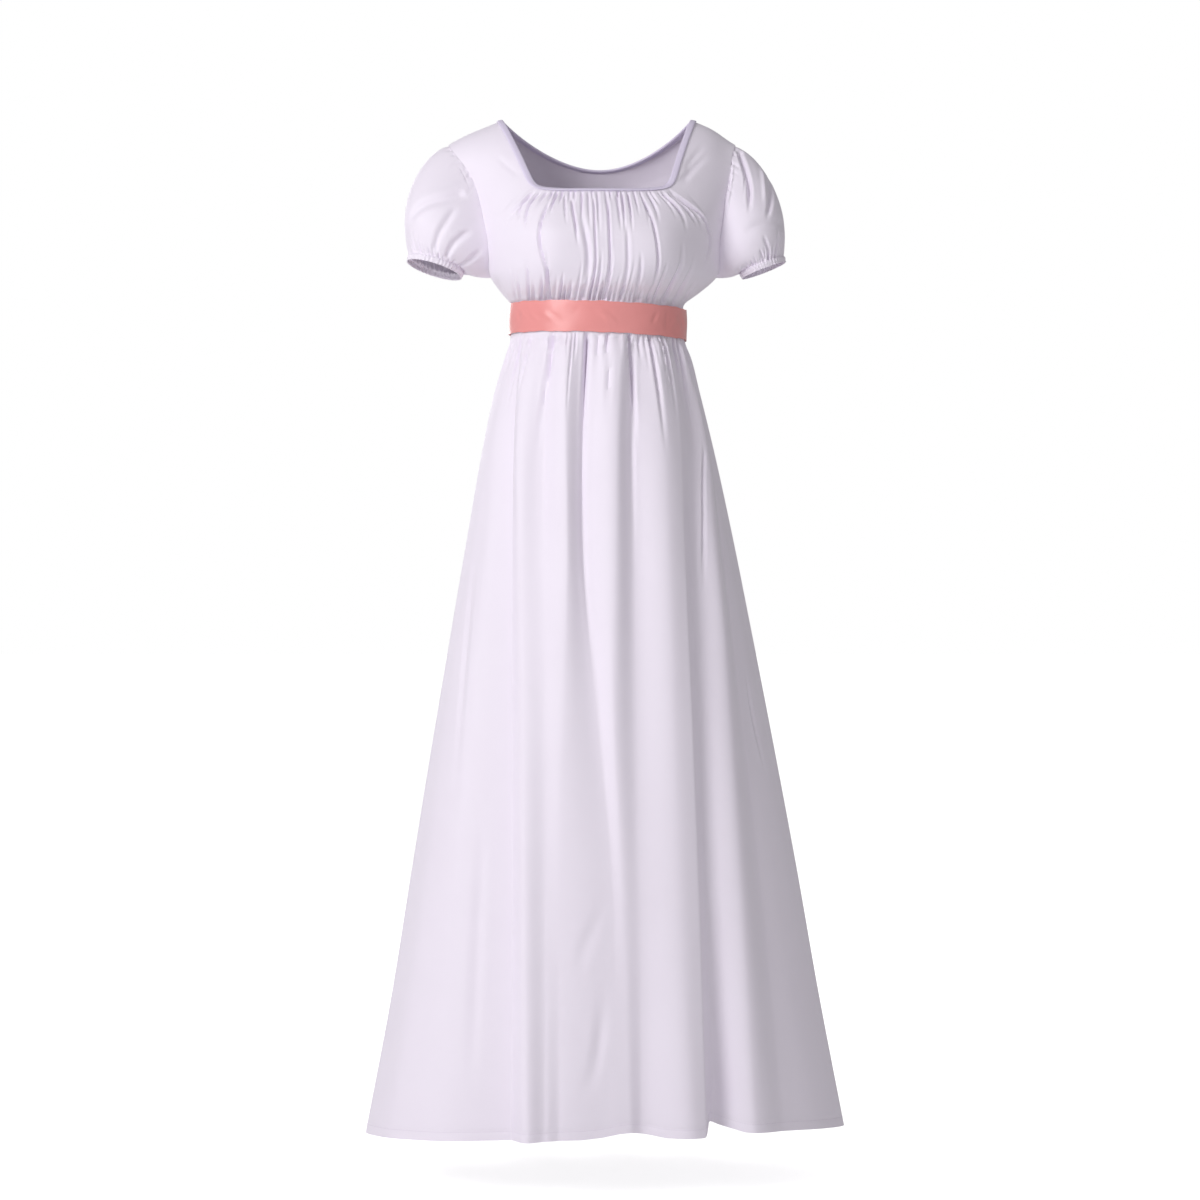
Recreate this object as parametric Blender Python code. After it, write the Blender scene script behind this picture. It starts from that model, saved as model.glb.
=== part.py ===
"""A white Regency gown with puff sleeves and a ribbon sash, hollow and in the shape it has when worn.

Metres, +Z up. The front faces -Y and the wearer's left side is +X. The origin is midway between the two
points where the shoulder seams meet the neckline, which is where a wearer's shoulders hold the gown up.
Every cloth piece is a wall of constant thickness behind an outer surface that is worked out here.
"""

import math

import bmesh
import bpy
import numpy as np

# Driving sizes
CLOTH = 0.0020  # thickness of the gown's cloth wall
RIBBON = 0.0012  # thickness of the sash
BINDING = 0.0026  # thickness of the rolled neck binding
BINDING_WIDTH = 0.0060
SEAM = 0.0003  # gap between two pieces that are sewn together
SEAM_LEVEL = -0.2765  # the empire seam, where skirt and bodice meet under the sash
SASH_TOP, SASH_FOOT = -0.2560, -0.2975
SASH_ROLL = 0.035  # how fast the sash falls towards the wearer's left
WAIST_HALF_WIDTH, WAIST_FRONT, WAIST_BACK = 0.1200, 0.0995, 0.0970  # the body under the sash
HEM_LEVEL = -1.3790
HEM_LIFT_FRONT, HEM_LIFT_LEFT = 0.0200, 0.0050
NECK_POINT = (0.1350, 0.0, -0.0015)  # where a shoulder seam meets the neck binding
SHOULDER_POINT = (0.1965, 0.0, -0.0330)  # where a shoulder seam meets the sleeve
NECK_FRONT = -0.1100  # height of the front panel's neck edge, under the binding
NECK_CORNER = 0.0950  # half the width of the square front neckline
NECK_BACK = -0.0600  # lowest point of the back neckline
UNDERARM = -0.2160
CUFF_BAND = 0.0090  # the narrow casing at the foot of each sleeve
CUFF_FORWARD = 0.0060  # how far the cuffs sit forward of the side seams
FRONT_NECK_RISE = 0.0040  # how much higher the front neck edge is at its corners than in its middle
FRONT_CORNER, BACK_CORNER_LOW, BACK_CORNER_HIGH = 46, 44, 40  # degrees round to the strap columns

# Mesh steps
CENTRE_COLUMNS, STRAP_COLUMNS, STRAP_ROWS = 11, 4, 5
SLEEVE_COLUMNS, SLEEVE_ROWS = 24, 7
FOLD_STEPS = 3  # columns between one fold line and the next
SASH_COLUMNS = 48

# The torso's level sections, from the empire seam up. front and back are depths from the side seam, and arm
# is by how many degrees the armhole cuts each panel back from the side seam.
TORSO = {
    "z": (-0.2765, -0.2500, -0.2360, -0.2160, -0.1920, -0.1680, -0.1400, -0.1100),
    "half_width": (0.1190, 0.1198, 0.1350, 0.1535, 0.1610, 0.1660, 0.1740, 0.1820),
    "front": (0.0985, 0.0992, 0.1170, 0.1290, 0.1350, 0.1370, 0.1280, 0.1100),
    "back": (0.0960, 0.0967, 0.1010, 0.1030, 0.1040, 0.1030, 0.1000, 0.0940),
    "cup": (0.0, 0.0, 0.0045, 0.0100, 0.0130, 0.0110, 0.0050, 0.0),
    "arm": (0.0, 0.0, 0.0, 0.0, 13.0, 18.0, 21.0, 23.0),
}
CUP_CENTRE, CUP_SPREAD = 0.0800, 0.0420
LEAN = {  # how far the gown has settled towards the wearer's left, by height
    "z": (-0.2500, -0.2160, -0.1700, -0.1100, -0.0500, 0.0),
    "shift": (0.0, 0.0080, 0.0085, 0.0060, 0.0020, -0.0015),
}
SHOULDER_SHIFT = -0.0085  # the shoulder ends of both armholes sit this much nearer the wearer's right

# Each sleeve: its side, the foot of its cuff and the outermost run of its puff. across and deep are the
# cuff's radii, and tilt and pitch are by how many degrees its axis leans out and forward from straight down.
SLEEVES = {
    "sleeve_left": {
        "side": 1, "cuff_x": 0.2277, "cuff_z": -0.2056, "across": 0.0316, "deep": 0.0420, "tilt": 20.6,
        "pitch": 0.0, "puff_top": (0.0340, -0.0120), "puff_foot": (0.0085, 0.0760), "full": 0.024,
    },
    "sleeve_right": {
        "side": -1, "cuff_x": 0.2236, "cuff_z": -0.2044, "across": 0.0390, "deep": 0.0430, "tilt": 16.8,
        "pitch": 7.0, "puff_top": (0.0330, -0.0080), "puff_foot": (0.0190, 0.0800), "full": 0.026,
    },
}

# The handles of the drawn curves, each measured from the end of the curve that it belongs to.
HANDLES = {
    "armhole_foot": (0.0030, 0.0060, 0.0300),
    "armhole_head": (-0.0020, -0.0260, -0.0060),
    "front_neck_foot": (0.0085, 0.0210, 0.0330),
    "front_neck_head": (-0.0030, -0.0430, -0.0040),
    "back_neck_foot": (0.0050, -0.0060, 0.0400),
    "back_neck_head": (-0.0030, 0.0360, -0.0030),
    "back_centre_foot": (0.0, -0.0020, 0.0160),
    "back_centre_head": (0.0, 0.0060, -0.0160),
    "back_scoop_centre": (0.0600, 0.0010, 0.0),
    "back_scoop_end": (-0.0160, 0.0460, -0.0140),
    "shoulder": (0.0, 0.0, 0.0030),
    "sleeve_under": (0.0140, 0.0, -0.0010),
}
BACK_SLOPE = 0.0120  # how far the back's upper edge leans in at the centre
SWELL = 0.75  # how much of a sleeve's fullness it has next to the armhole
UNDER_CUFF = (0.0040, 0.0080)  # how far the sleeve's underside runs down, then in, before its cuff

# The skirt's level sections, from the empire seam down to the hem.
SKIRT = {
    "z": (-0.2765, -0.3040, -0.3250, -0.3700, -0.4500, -0.5600, -0.7000, -0.8600, -1.0300, -1.2000, -1.3790),
    "left": (0.1190, 0.1200, 0.1280, 0.1395, 0.1590, 0.1830, 0.2110, 0.2420, 0.2735, 0.3030, 0.3370),
    "right": (0.1190, 0.1200, 0.1265, 0.1400, 0.1570, 0.1765, 0.2005, 0.2275, 0.2550, 0.2825, 0.3170),
    "front": (0.0985, 0.0995, 0.1060, 0.1150, 0.1270, 0.1410, 0.1570, 0.1740, 0.1900, 0.2040, 0.2180),
    "back": (0.0960, 0.0970, 0.1060, 0.1220, 0.1430, 0.1650, 0.1880, 0.2090, 0.2270, 0.2420, 0.2560),
}

# The skirt's fold lines, in order across each panel. x is where a line runs at the sash, hip, knee and hem,
# and out is how far it stands out there, a valley being negative. crease is 0 for soft and 1 for sharp.
FOLD_LEVELS = (-0.3000, -0.6000, -0.9500, -1.3790)
FRONT_FOLDS = {
    "x_sash": (-0.112, -0.105, -0.094, -0.042, -0.016, 0.028, 0.050, 0.080, 0.094, 0.104, 0.112, 0.116),
    "x_hip": (-0.150, -0.120, -0.102, -0.040, -0.019, 0.023, 0.048, 0.088, 0.108, 0.124, 0.152, 0.172),
    "x_knee": (-0.180, -0.117, -0.097, -0.045, 0.008, 0.032, 0.056, 0.098, 0.122, 0.138, 0.176, 0.208),
    "x_hem": (-0.205, -0.116, -0.092, -0.040, 0.006, 0.034, 0.066, 0.114, 0.136, 0.166, 0.205, 0.258),
    "out_sash": (0.000, -0.003, 0.003, 0.005, -0.004, 0.005, -0.005, 0.005, 0.002, -0.004, 0.003, -0.001),
    "out_hip": (0.004, -0.009, 0.004, 0.006, -0.007, 0.005, -0.007, 0.007, 0.005, -0.006, 0.005, -0.003),
    "out_knee": (0.008, -0.012, 0.008, 0.004, -0.005, 0.001, -0.006, 0.008, 0.005, -0.008, 0.007, -0.006),
    "out_hem": (0.008, -0.010, 0.015, -0.002, -0.012, -0.013, -0.020, 0.003, -0.001, -0.032, 0.004, -0.009),
    "crease": (0, 1, 0, 0, 0, 0, 0, 0, 1, 0, 0, 0),
}
BACK_FOLDS = {
    "x_sash": (-0.105, -0.088, -0.066, -0.046, -0.022, 0.004, 0.030, 0.056, 0.084, 0.106),
    "x_hip": (-0.140, -0.118, -0.082, -0.054, -0.024, 0.010, 0.044, 0.078, 0.118, 0.146),
    "x_knee": (-0.182, -0.150, -0.100, -0.060, -0.024, 0.018, 0.060, 0.102, 0.152, 0.192),
    "x_hem": (-0.240, -0.182, -0.122, -0.062, -0.012, 0.042, 0.090, 0.140, 0.204, 0.260),
    "out_sash": (0.002, -0.003, 0.004, -0.004, 0.004, -0.004, 0.004, -0.004, 0.003, -0.002),
    "out_hip": (0.004, -0.007, 0.007, -0.008, 0.009, -0.008, 0.009, -0.007, 0.006, -0.004),
    "out_knee": (0.006, -0.012, 0.010, -0.012, 0.012, -0.012, 0.012, -0.011, 0.009, -0.006),
    "out_hem": (0.010, -0.026, 0.018, -0.022, 0.019, -0.024, 0.017, -0.026, 0.014, -0.009),
    "crease": (0, 0, 0, 0, 0, 1, 0, 0, 0, 0),
}

# Gathers of the front bodice, from the neckline to the sash.
FRONT_GATHERS = {
    "x_neck": (-0.088, -0.067, -0.046, -0.024, -0.002, 0.020, 0.043, 0.066, 0.087),
    "x_sash": (-0.100, -0.078, -0.055, -0.032, -0.008, 0.016, 0.040, 0.064, 0.090),
    "out_neck": (0.0020, 0.0026, 0.0024, 0.0026, 0.0026, 0.0026, 0.0024, 0.0026, 0.0022),
    "out_middle": (0.0008, 0.0010, 0.0014, 0.0016, 0.0020, 0.0020, 0.0014, 0.0010, 0.0012),
    "out_sash": (0.0016, 0.0026, 0.0026, 0.0028, 0.0030, 0.0028, 0.0026, 0.0026, 0.0018),
}
GATHER_HALF_WIDTH = 0.0065

COLOURS = {
    "cloth": (0.86, 0.84, 0.89),
    "binding": (0.84, 0.82, 0.90),
    "ribbon": (0.80, 0.34, 0.34),
}


# Small tools for curves and tables

def unit(v):
    v = np.asarray(v, float)
    return v / np.linalg.norm(v, axis=-1, keepdims=True)


def smooth_step(t):
    t = np.clip(t, 0.0, 1.0)
    return t * t * (3.0 - 2.0 * t)


def curve_through(knots, values, at):
    """A smooth curve through a table's values (Hermite, with slopes from the neighbours), read at `at`."""
    knots, values = np.asarray(knots, float), np.asarray(values, float)
    if knots[0] > knots[-1]:
        knots, values = knots[::-1], values[::-1]
    slopes = np.gradient(values, knots)
    at = np.clip(np.asarray(at, float), knots[0], knots[-1])
    i = np.clip(np.searchsorted(knots, at, side="right") - 1, 0, len(knots) - 2)
    step = knots[i + 1] - knots[i]
    t = (at - knots[i]) / step
    return (
        (2 * t**3 - 3 * t**2 + 1) * values[i]
        + (t**3 - 2 * t**2 + t) * step * slopes[i]
        + (3 * t**2 - 2 * t**3) * values[i + 1]
        + (t**3 - t**2) * step * slopes[i + 1]
    )


def bezier(a, b, c, d, steps):
    """Points on a cubic curve, as rows, for each of `steps` between 0 and 1."""
    t = np.asarray(steps, float)[:, None]
    a, b, c, d = (np.asarray(p, float) for p in (a, b, c, d))
    return (1 - t) ** 3 * a + 3 * (1 - t) ** 2 * t * b + 3 * (1 - t) * t**2 * c + t**3 * d


def coons(bottom, top, inner, outer):
    """A grid of points between four edges: bottom and top run across, inner and outer run up."""
    u = np.linspace(0, 1, len(bottom))[None, :, None]
    v = np.linspace(0, 1, len(inner))[:, None, None]
    ruled_up = (1 - v) * bottom[None] + v * top[None]
    ruled_across = (1 - u) * inner[:, None] + u * outer[:, None]
    corners = (
        (1 - u) * (1 - v) * bottom[0]
        + u * (1 - v) * bottom[-1]
        + (1 - u) * v * top[0]
        + u * v * top[-1]
    )
    return ruled_up + ruled_across - corners


def handle(end, name, turn=1):
    """A curve's handle, next to the end it belongs to. turn is -1 where the back mirrors the front."""
    return np.array(end) + np.array(HANDLES[name]) * [1, turn, 1]


# Body sections

def torso(angle, z, side):
    """A point of the bodice's outer surface, side being "front" or "back". angle is 0 at the panel's centre
    and a quarter turn at the side seam."""
    half_width = curve_through(TORSO["z"], TORSO["half_width"], z)
    depth = curve_through(TORSO["z"], TORSO[side], z)
    x = half_width * np.sin(angle)
    y = depth * np.cos(angle)
    if side == "front":
        cup = curve_through(TORSO["z"], TORSO["cup"], z)
        y = -(y + cup * np.exp(-(((np.abs(x) - CUP_CENTRE) / CUP_SPREAD) ** 2)))
    return np.stack([x, y, z + 0 * x], axis=-1)


def gathers(x, z):
    """How far the front bodice's gathers stand out at x, at height z."""
    rise = (z - SASH_TOP) / (NECK_FRONT - SASH_TOP)
    out = np.zeros_like(x)
    for i, x_neck in enumerate(FRONT_GATHERS["x_neck"]):
        x_sash = FRONT_GATHERS["x_sash"][i]
        centre = x_sash + rise * (x_neck - x_sash)
        heights = [FRONT_GATHERS[name][i] for name in ("out_sash", "out_middle", "out_neck")]
        height = np.interp(rise, (0.0, 0.5, 1.0), heights)
        out += height * np.exp(-(((x - centre) / GATHER_HALF_WIDTH) ** 2))
    return out * smooth_step((z - TORSO["z"][1]) / 0.012)


def leaned(points):
    """The same points, moved sideways with the settled gown."""
    x, z = points[..., 0], points[..., 2]
    shift = curve_through(LEAN["z"], LEAN["shift"], z)
    outer, upper = smooth_step((np.abs(x) - 0.145) / 0.05), smooth_step((z + 0.095) / 0.06)
    shift = shift + SHOULDER_SHIFT * outer * upper
    return points + shift[..., None] * np.array([1.0, 0.0, 0.0])


def armhole(side, steps):
    """The armhole's edge from the front panel's neck level up to the shoulder, on the +X side."""
    arm = math.radians(90 - TORSO["arm"][-1])
    start = torso(arm, np.float64(TORSO["z"][-1]), side)
    turn = 1 if side == "front" else -1
    first = handle(start, "armhole_foot", turn)
    last = handle(SHOULDER_POINT, "armhole_head", turn)
    return bezier(start, first, last, SHOULDER_POINT, steps)


def shoulder_seam(steps):
    middle = handle(0.5 * (np.array(NECK_POINT) + np.array(SHOULDER_POINT)), "shoulder")
    return bezier(NECK_POINT, middle, middle, SHOULDER_POINT, steps)


def body_rows(side, corner_low, corner_high):
    """Half a panel from the empire seam to the neck level, as rows from the centre to the outer edge."""
    levels = np.array(TORSO["z"]) + np.eye(len(TORSO["z"]))[0] * SEAM / 2
    rows = []
    for z in levels:
        share = (z - levels[0]) / (levels[-1] - levels[0])
        corner = math.radians(corner_low + share * (corner_high - corner_low))
        outer = math.radians(90 - curve_through(TORSO["z"], TORSO["arm"], z))
        angles = np.concatenate(
            [
                np.linspace(0, corner, CENTRE_COLUMNS + 1),
                np.linspace(corner, outer, STRAP_COLUMNS + 1)[1:],
            ]
        )
        rows.append(torso(angles, z, side))
    return np.array(rows)


def mirrored(half):
    """A whole panel from its +X half, whose first column is the centre line."""
    return np.concatenate([(half * [-1, 1, 1])[:, :0:-1], half], axis=1)


def front_bodice_grid():
    corner_high = math.degrees(math.asin(NECK_CORNER / TORSO["half_width"][-1]))
    low = body_rows("front", FRONT_CORNER, corner_high)
    corner_share = np.abs(low[-1, :, 0]) / NECK_CORNER
    low[-1, :, 2] += FRONT_NECK_RISE * smooth_step((corner_share - 0.45) / 0.60)
    edge = low[-1, CENTRE_COLUMNS:]
    steps = np.linspace(0, 1, STRAP_ROWS + 1)
    neck_first, neck_last = handle(edge[0], "front_neck_foot"), handle(NECK_POINT, "front_neck_head")
    inner = bezier(edge[0], neck_first, neck_last, NECK_POINT, steps)
    outer = armhole("front", steps)
    outer[0] = edge[-1]
    strap = coons(edge, shoulder_seam(np.linspace(0, 1, STRAP_COLUMNS + 1)), inner, outer)
    gap = np.broadcast_to(edge[0], (STRAP_ROWS, CENTRE_COLUMNS, 3))
    half = np.concatenate([low, np.concatenate([gap, strap[1:]], axis=1)])
    grid = mirrored(half)
    centre = slice(STRAP_COLUMNS, -STRAP_COLUMNS)
    rows = len(low)
    for i in range(rows):
        line = grid[i, centre]
        line[:, 1] -= gathers(line[:, 0], np.clip(line[:, 2], SASH_TOP, NECK_FRONT))
    columns = grid.shape[1] - 1
    kept = np.ones((len(grid) - 1, columns), bool)
    kept[rows - 1 :, STRAP_COLUMNS : columns - STRAP_COLUMNS] = False
    return grid, kept


def back_bodice_grid():
    low = body_rows("back", BACK_CORNER_LOW, BACK_CORNER_HIGH)
    edge = low[-1]
    steps = np.linspace(0, 1, STRAP_ROWS + 1)
    corner = edge[CENTRE_COLUMNS]
    top = np.array([0.0, edge[0, 1] - BACK_SLOPE, NECK_BACK])
    column = bezier(
        corner, handle(corner, "back_neck_foot"), handle(NECK_POINT, "back_neck_head"), NECK_POINT, steps
    )
    centre_line = bezier(
        edge[0], handle(edge[0], "back_centre_foot"), handle(top, "back_centre_head"), top, steps
    )
    across = np.linspace(0, 1, CENTRE_COLUMNS + 1)
    scoop_end = handle(NECK_POINT, "back_scoop_end")
    scoop = bezier(top, handle(top, "back_scoop_centre"), scoop_end, NECK_POINT, across)
    middle = coons(edge[: CENTRE_COLUMNS + 1], scoop, centre_line, column)
    outer = armhole("back", steps)
    outer[0] = edge[-1]
    seam = shoulder_seam(np.linspace(0, 1, STRAP_COLUMNS + 1))
    strap = coons(edge[CENTRE_COLUMNS:], seam, column, outer)
    upper = np.concatenate([middle, strap[:, 1:]], axis=1)
    grid = mirrored(np.concatenate([low, upper[1:]]))
    return grid, np.ones((len(grid) - 1, grid.shape[1] - 1), bool)


# The skirt

def fold_lines(folds, z):
    """The fold lines' x and height at one level of the skirt."""
    level = max(min(z, FOLD_LEVELS[0]), FOLD_LEVELS[-1])

    def read(kind):
        lines = zip(*(folds[kind + name] for name in ("sash", "hip", "knee", "hem")))
        return np.array([curve_through(FOLD_LEVELS, line, level) for line in lines])

    return read("x_"), read("out_")


def half_widths(z):
    """The section's reach towards -X and +X."""
    return curve_through(SKIRT["z"], SKIRT["right"], z), curve_through(SKIRT["z"], SKIRT["left"], z)


def panel_ring(side, z):
    """One level of a skirt panel, from its -X side seam to its +X one, as points with the folds in them."""
    folds, forward = (FRONT_FOLDS, -1) if side == "front" else (BACK_FOLDS, 1)
    right, left = half_widths(z)
    depth = curve_through(SKIRT["z"], SKIRT[side], z)
    line_x, line_out = fold_lines(folds, z)
    reach = np.where(line_x < 0, right, left)
    line_angle = np.arcsin(np.clip(line_x / reach, -0.985, 0.985))
    knots = np.concatenate([[-math.pi / 2], line_angle, [math.pi / 2]])
    heights = np.concatenate([[0.0], line_out, [0.0]])
    creases = np.concatenate([[0], folds["crease"], [0]])
    angles, outs = [knots[0]], [0.0]
    for i in range(len(knots) - 1):
        for t in np.arange(1, FOLD_STEPS + 1) / FOLD_STEPS:
            soft = smooth_step(t)
            if creases[i]:
                soft = 0.5 * soft + 0.5 * (1 - (1 - t) ** 2)
            if creases[i + 1]:
                soft = 0.5 * soft + 0.5 * t**2
            angles.append(knots[i] + t * (knots[i + 1] - knots[i]))
            outs.append(heights[i] + soft * (heights[i + 1] - heights[i]))
    angles = np.array(angles)
    bare = smooth_step((SASH_FOOT - 0.0060 - z) / 0.016)
    reach = np.where(angles < 0, right, left)
    x, y = reach * np.sin(angles), forward * depth * np.cos(angles)
    normal = unit(np.stack([np.sin(angles) / reach, forward * np.cos(angles) / depth], axis=-1))
    out = (np.array(outs) * bare)[:, None]
    share = max(0.0, (SEAM_LEVEL - z) / (SEAM_LEVEL - HEM_LEVEL))
    front_lift = HEM_LIFT_FRONT * np.cos(angles) if side == "front" else 0
    lift = share**3 * (front_lift + HEM_LIFT_LEFT * np.sin(angles))
    return np.stack([x + out[:, 0] * normal[:, 0], y + out[:, 0] * normal[:, 1], z + lift], axis=-1)


def skirt_grid():
    """The whole skirt as a closed ring of columns, from the -X side seam by the front, then the back."""
    levels = np.array(SKIRT["z"])
    levels[0] -= SEAM / 2
    front = np.array([panel_ring("front", z) for z in levels])
    back = np.array([panel_ring("back", z) for z in levels])[:, ::-1]
    return np.concatenate([front[:, :-1], back[:, :-1]], axis=1), front.shape[1] - 1


# Sleeves

def armhole_loop(columns):
    """The whole armhole on the +X side, from the shoulder by the front to the underarm and up the back."""
    def half(side):
        steps = np.linspace(0, 1, 24)
        upper = armhole(side, steps)[::-1]
        levels = np.linspace(NECK_FRONT, UNDERARM, 24)[1:]
        arm = curve_through(TORSO["z"], TORSO["arm"], levels)
        arm = arm * (levels > UNDERARM)
        lower = np.array([torso(math.radians(90 - a), z, side) for a, z in zip(arm, levels)])
        return np.concatenate([upper, lower])

    front, back = half("front"), half("back")
    line = np.concatenate([front, back[-2::-1]])
    along = np.concatenate([[0], np.cumsum(np.linalg.norm(np.diff(line, axis=0), axis=1))])
    front_length = along[len(front) - 1]
    even = np.concatenate(
        [
            np.linspace(0, front_length, columns // 2 + 1)[:-1],
            np.linspace(front_length, along[-1], columns // 2 + 1)[:-1],
        ]
    )
    return np.stack([np.interp(even, along, line[:, k]) for k in range(3)], axis=1)


def sleeve_grid(sleeve):
    """One sleeve: rows from the armhole to the cuff's foot, columns from the top round by the front."""
    side = np.array([sleeve["side"], 1.0, 1.0])
    seam = leaned(armhole_loop(SLEEVE_COLUMNS) * side) * side
    turn = np.linspace(0, 2 * math.pi, SLEEVE_COLUMNS, endpoint=False)
    top = ((1 + np.cos(turn)) / 2)[:, None]
    flank = np.abs(np.sin(turn))[:, None]
    tilt, pitch = math.radians(sleeve["tilt"]), math.radians(sleeve["pitch"])
    down = unit([math.sin(tilt), -math.sin(pitch), -math.cos(tilt)])
    out = np.array([math.cos(tilt), 0.0, math.sin(tilt)])
    forward = np.cross(out, down)
    forward = forward * -np.sign(forward[1])
    radial = np.outer(np.cos(turn), out * sleeve["across"]) + np.outer(np.sin(turn), forward * sleeve["deep"])
    foot = np.array([sleeve["cuff_x"], -CUFF_FORWARD, sleeve["cuff_z"]]) + radial
    cuff = foot - down * CUFF_BAND
    centre = seam.mean(axis=0)
    away = unit((seam - centre) * [0, 1, 1])
    start = seam + np.array([1.0, 0.0, 0.0]) * 3 * SEAM + away * SEAM
    puff_top = np.array([sleeve["puff_top"][0], 0.0, sleeve["puff_top"][1]])
    puff_foot = np.array([sleeve["puff_foot"][0], 0.0, sleeve["puff_foot"][1]])
    first = start + top * puff_top + (1 - top) * HANDLES["sleeve_under"]
    first = first + away * SWELL * sleeve["full"] * flank
    last = cuff + top * puff_foot + (1 - top) * (UNDER_CUFF[0] * down - UNDER_CUFF[1] * out)
    last = last + unit(radial) * sleeve["full"] * flank
    steps = np.linspace(0, 1, SLEEVE_ROWS)
    lines = np.array([bezier(*ends, steps) for ends in zip(start, first, last, cuff)])
    rows = lines.transpose(1, 0, 2)
    return np.concatenate([rows, foot[None]]) * side, away * side


# Solids

def surface_normals(grid, kept, ring):
    """Outward or inward normals at each point of a grid, averaged from the kept cells around it."""
    across = np.roll(grid, -1, axis=1) if ring else grid[:, 1:]
    left = grid if ring else grid[:, :-1]
    one = across[1:] - left[:-1]
    other = left[1:] - across[:-1]
    faces = np.cross(one, other) * kept[..., None]
    total = np.zeros_like(grid)
    for rows in (slice(0, -1), slice(1, None)):
        if ring:
            total[rows] += faces
            total[rows] += np.roll(faces, 1, axis=1)
        else:
            total[rows, :-1] += faces
            total[rows, 1:] += faces
    size = np.linalg.norm(total, axis=-1, keepdims=True)
    return total / np.maximum(size, 1e-12)


def wall(name, grid, normals, thickness, material, kept=None, ring=False):
    """A closed cloth wall: the grid is its outer surface and it is `thickness` deep behind that."""
    rows, columns = grid.shape[:2]
    spans = columns if ring else columns - 1
    if kept is None:
        kept = np.ones((rows - 1, spans), bool)
    outer = [tuple(p) for p in grid.reshape(-1, 3)]
    inner = [tuple(p) for p in (grid - normals * thickness).reshape(-1, 3)]
    shell = bmesh.new()
    points = [shell.verts.new(p) for p in outer + inner]
    behind = rows * columns
    sides = set()
    for i, j in zip(*np.nonzero(kept)):
        right = (j + 1) % columns
        cell = (i * columns + j, i * columns + right, (i + 1) * columns + right, (i + 1) * columns + j)
        shell.faces.new([points[k] for k in cell])
        shell.faces.new([points[k + behind] for k in reversed(cell)])
        sides.update(zip(cell, cell[1:] + cell[:1]))
    for a, b in sorted(sides):
        if (b, a) not in sides:
            shell.faces.new([points[b], points[a], points[a + behind], points[b + behind]])
    bmesh.ops.delete(shell, geom=[v for v in shell.verts if not v.link_faces], context="VERTS")
    bmesh.ops.recalc_face_normals(shell, faces=shell.faces)
    mesh = bpy.data.meshes.new(name)
    shell.to_mesh(mesh)
    shell.free()
    mesh.shade_smooth()
    mesh.set_sharp_from_angle(angle=math.radians(50))
    mesh.materials.append(material)
    piece = bpy.data.objects.new(name, mesh)
    bpy.context.collection.objects.link(piece)
    return piece


def finish(name, colour, roughness):
    material = bpy.data.materials.new(name)
    material.use_nodes = True
    shader = material.node_tree.nodes["Principled BSDF"]
    shader.inputs["Base Color"].default_value = (*colour, 1.0)
    shader.inputs["Roughness"].default_value = roughness
    shader.inputs["Metallic"].default_value = 0.0
    return material


def seam_normal(line):
    """Normals along a seam in the plane of the side seams, square to the seam and in that plane."""
    along = unit(np.gradient(line, axis=0))
    return unit(np.stack([-along[:, 2], 0 * along[:, 0], along[:, 0]], axis=-1))


def outward(normals, grid, centre):
    """The same normals, turned where needed to point away from `centre`."""
    turned = np.sum(normals * (grid - centre)) < 0
    return -normals if turned else normals


def make_bodice(material):
    """The two bodice panels, and the neck edge that the binding follows, as points and normals."""
    middle = np.array([0.0, 0.0, -0.18])
    edges = {}
    for name, (grid, kept), forward in (
        ("bodice_front", front_bodice_grid(), -1),
        ("bodice_back", back_bodice_grid(), 1),
    ):
        normals = outward(surface_normals(grid, kept, False), grid, middle)
        under = TORSO["z"].index(UNDERARM)
        for column, sign in ((0, -1), (-1, 1)):
            line = grid[: under + 1, column]
            flat = seam_normal(line)
            normals[: under + 1, column] = flat * np.sign(flat[:, :1] * sign)
        for strap in (slice(0, STRAP_COLUMNS + 1), slice(-STRAP_COLUMNS - 1, None)):
            flat = seam_normal(grid[-1, strap])
            normals[-1, strap] = flat * np.sign(flat[:, 2:])
        grid = leaned(grid)
        grid[: under + 1, (0, -1), 1] += forward * SEAM / 2
        for strap in (slice(0, STRAP_COLUMNS + 1), slice(-STRAP_COLUMNS - 1, None)):
            grid[-1, strap, 1] += forward * SEAM / 2
        wall(name, grid, normals, CLOTH, material, kept)
        edges[name] = (grid, normals)
    return edges


def neck_line(edges):
    """The neck edge all round, as points and normals, from the +X shoulder round by the front."""
    front, front_normals = edges["bodice_front"]
    back, back_normals = edges["bodice_back"]
    low = len(TORSO["z"]) - 1
    left, right = STRAP_COLUMNS, front.shape[1] - 1 - STRAP_COLUMNS
    picks = (
        [(i, right) for i in range(len(front) - 1, low, -1)]
        + [(low, j) for j in range(right, left - 1, -1)]
        + [(i, left) for i in range(low + 1, len(front))]
    )
    points = [front[p] for p in picks] + [back[-1, j] for j in range(left + 1, right)]
    normals = [front_normals[p] for p in picks] + [back_normals[-1, j] for j in range(left + 1, right)]
    return np.array(points), unit(normals)


def make_binding(edges, material):
    line, normals = neck_line(edges)
    along = unit(np.roll(line, -1, axis=0) - np.roll(line, 1, axis=0))
    normals = unit(normals - along * np.sum(normals * along, axis=1, keepdims=True))
    inward = np.cross(normals, along)
    centre = np.array([0.0, line[:, 1].mean(), 0.02])
    if np.sum(inward * (centre - line)) < 0:
        inward = -inward
    proud = (BINDING - CLOTH) / 2
    low = line + inward * SEAM + normals * proud
    high = low + inward * BINDING_WIDTH
    grid = np.array([low, high])
    wall("neck_binding", grid, np.array([normals, normals]), BINDING, material, ring=True)


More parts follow.
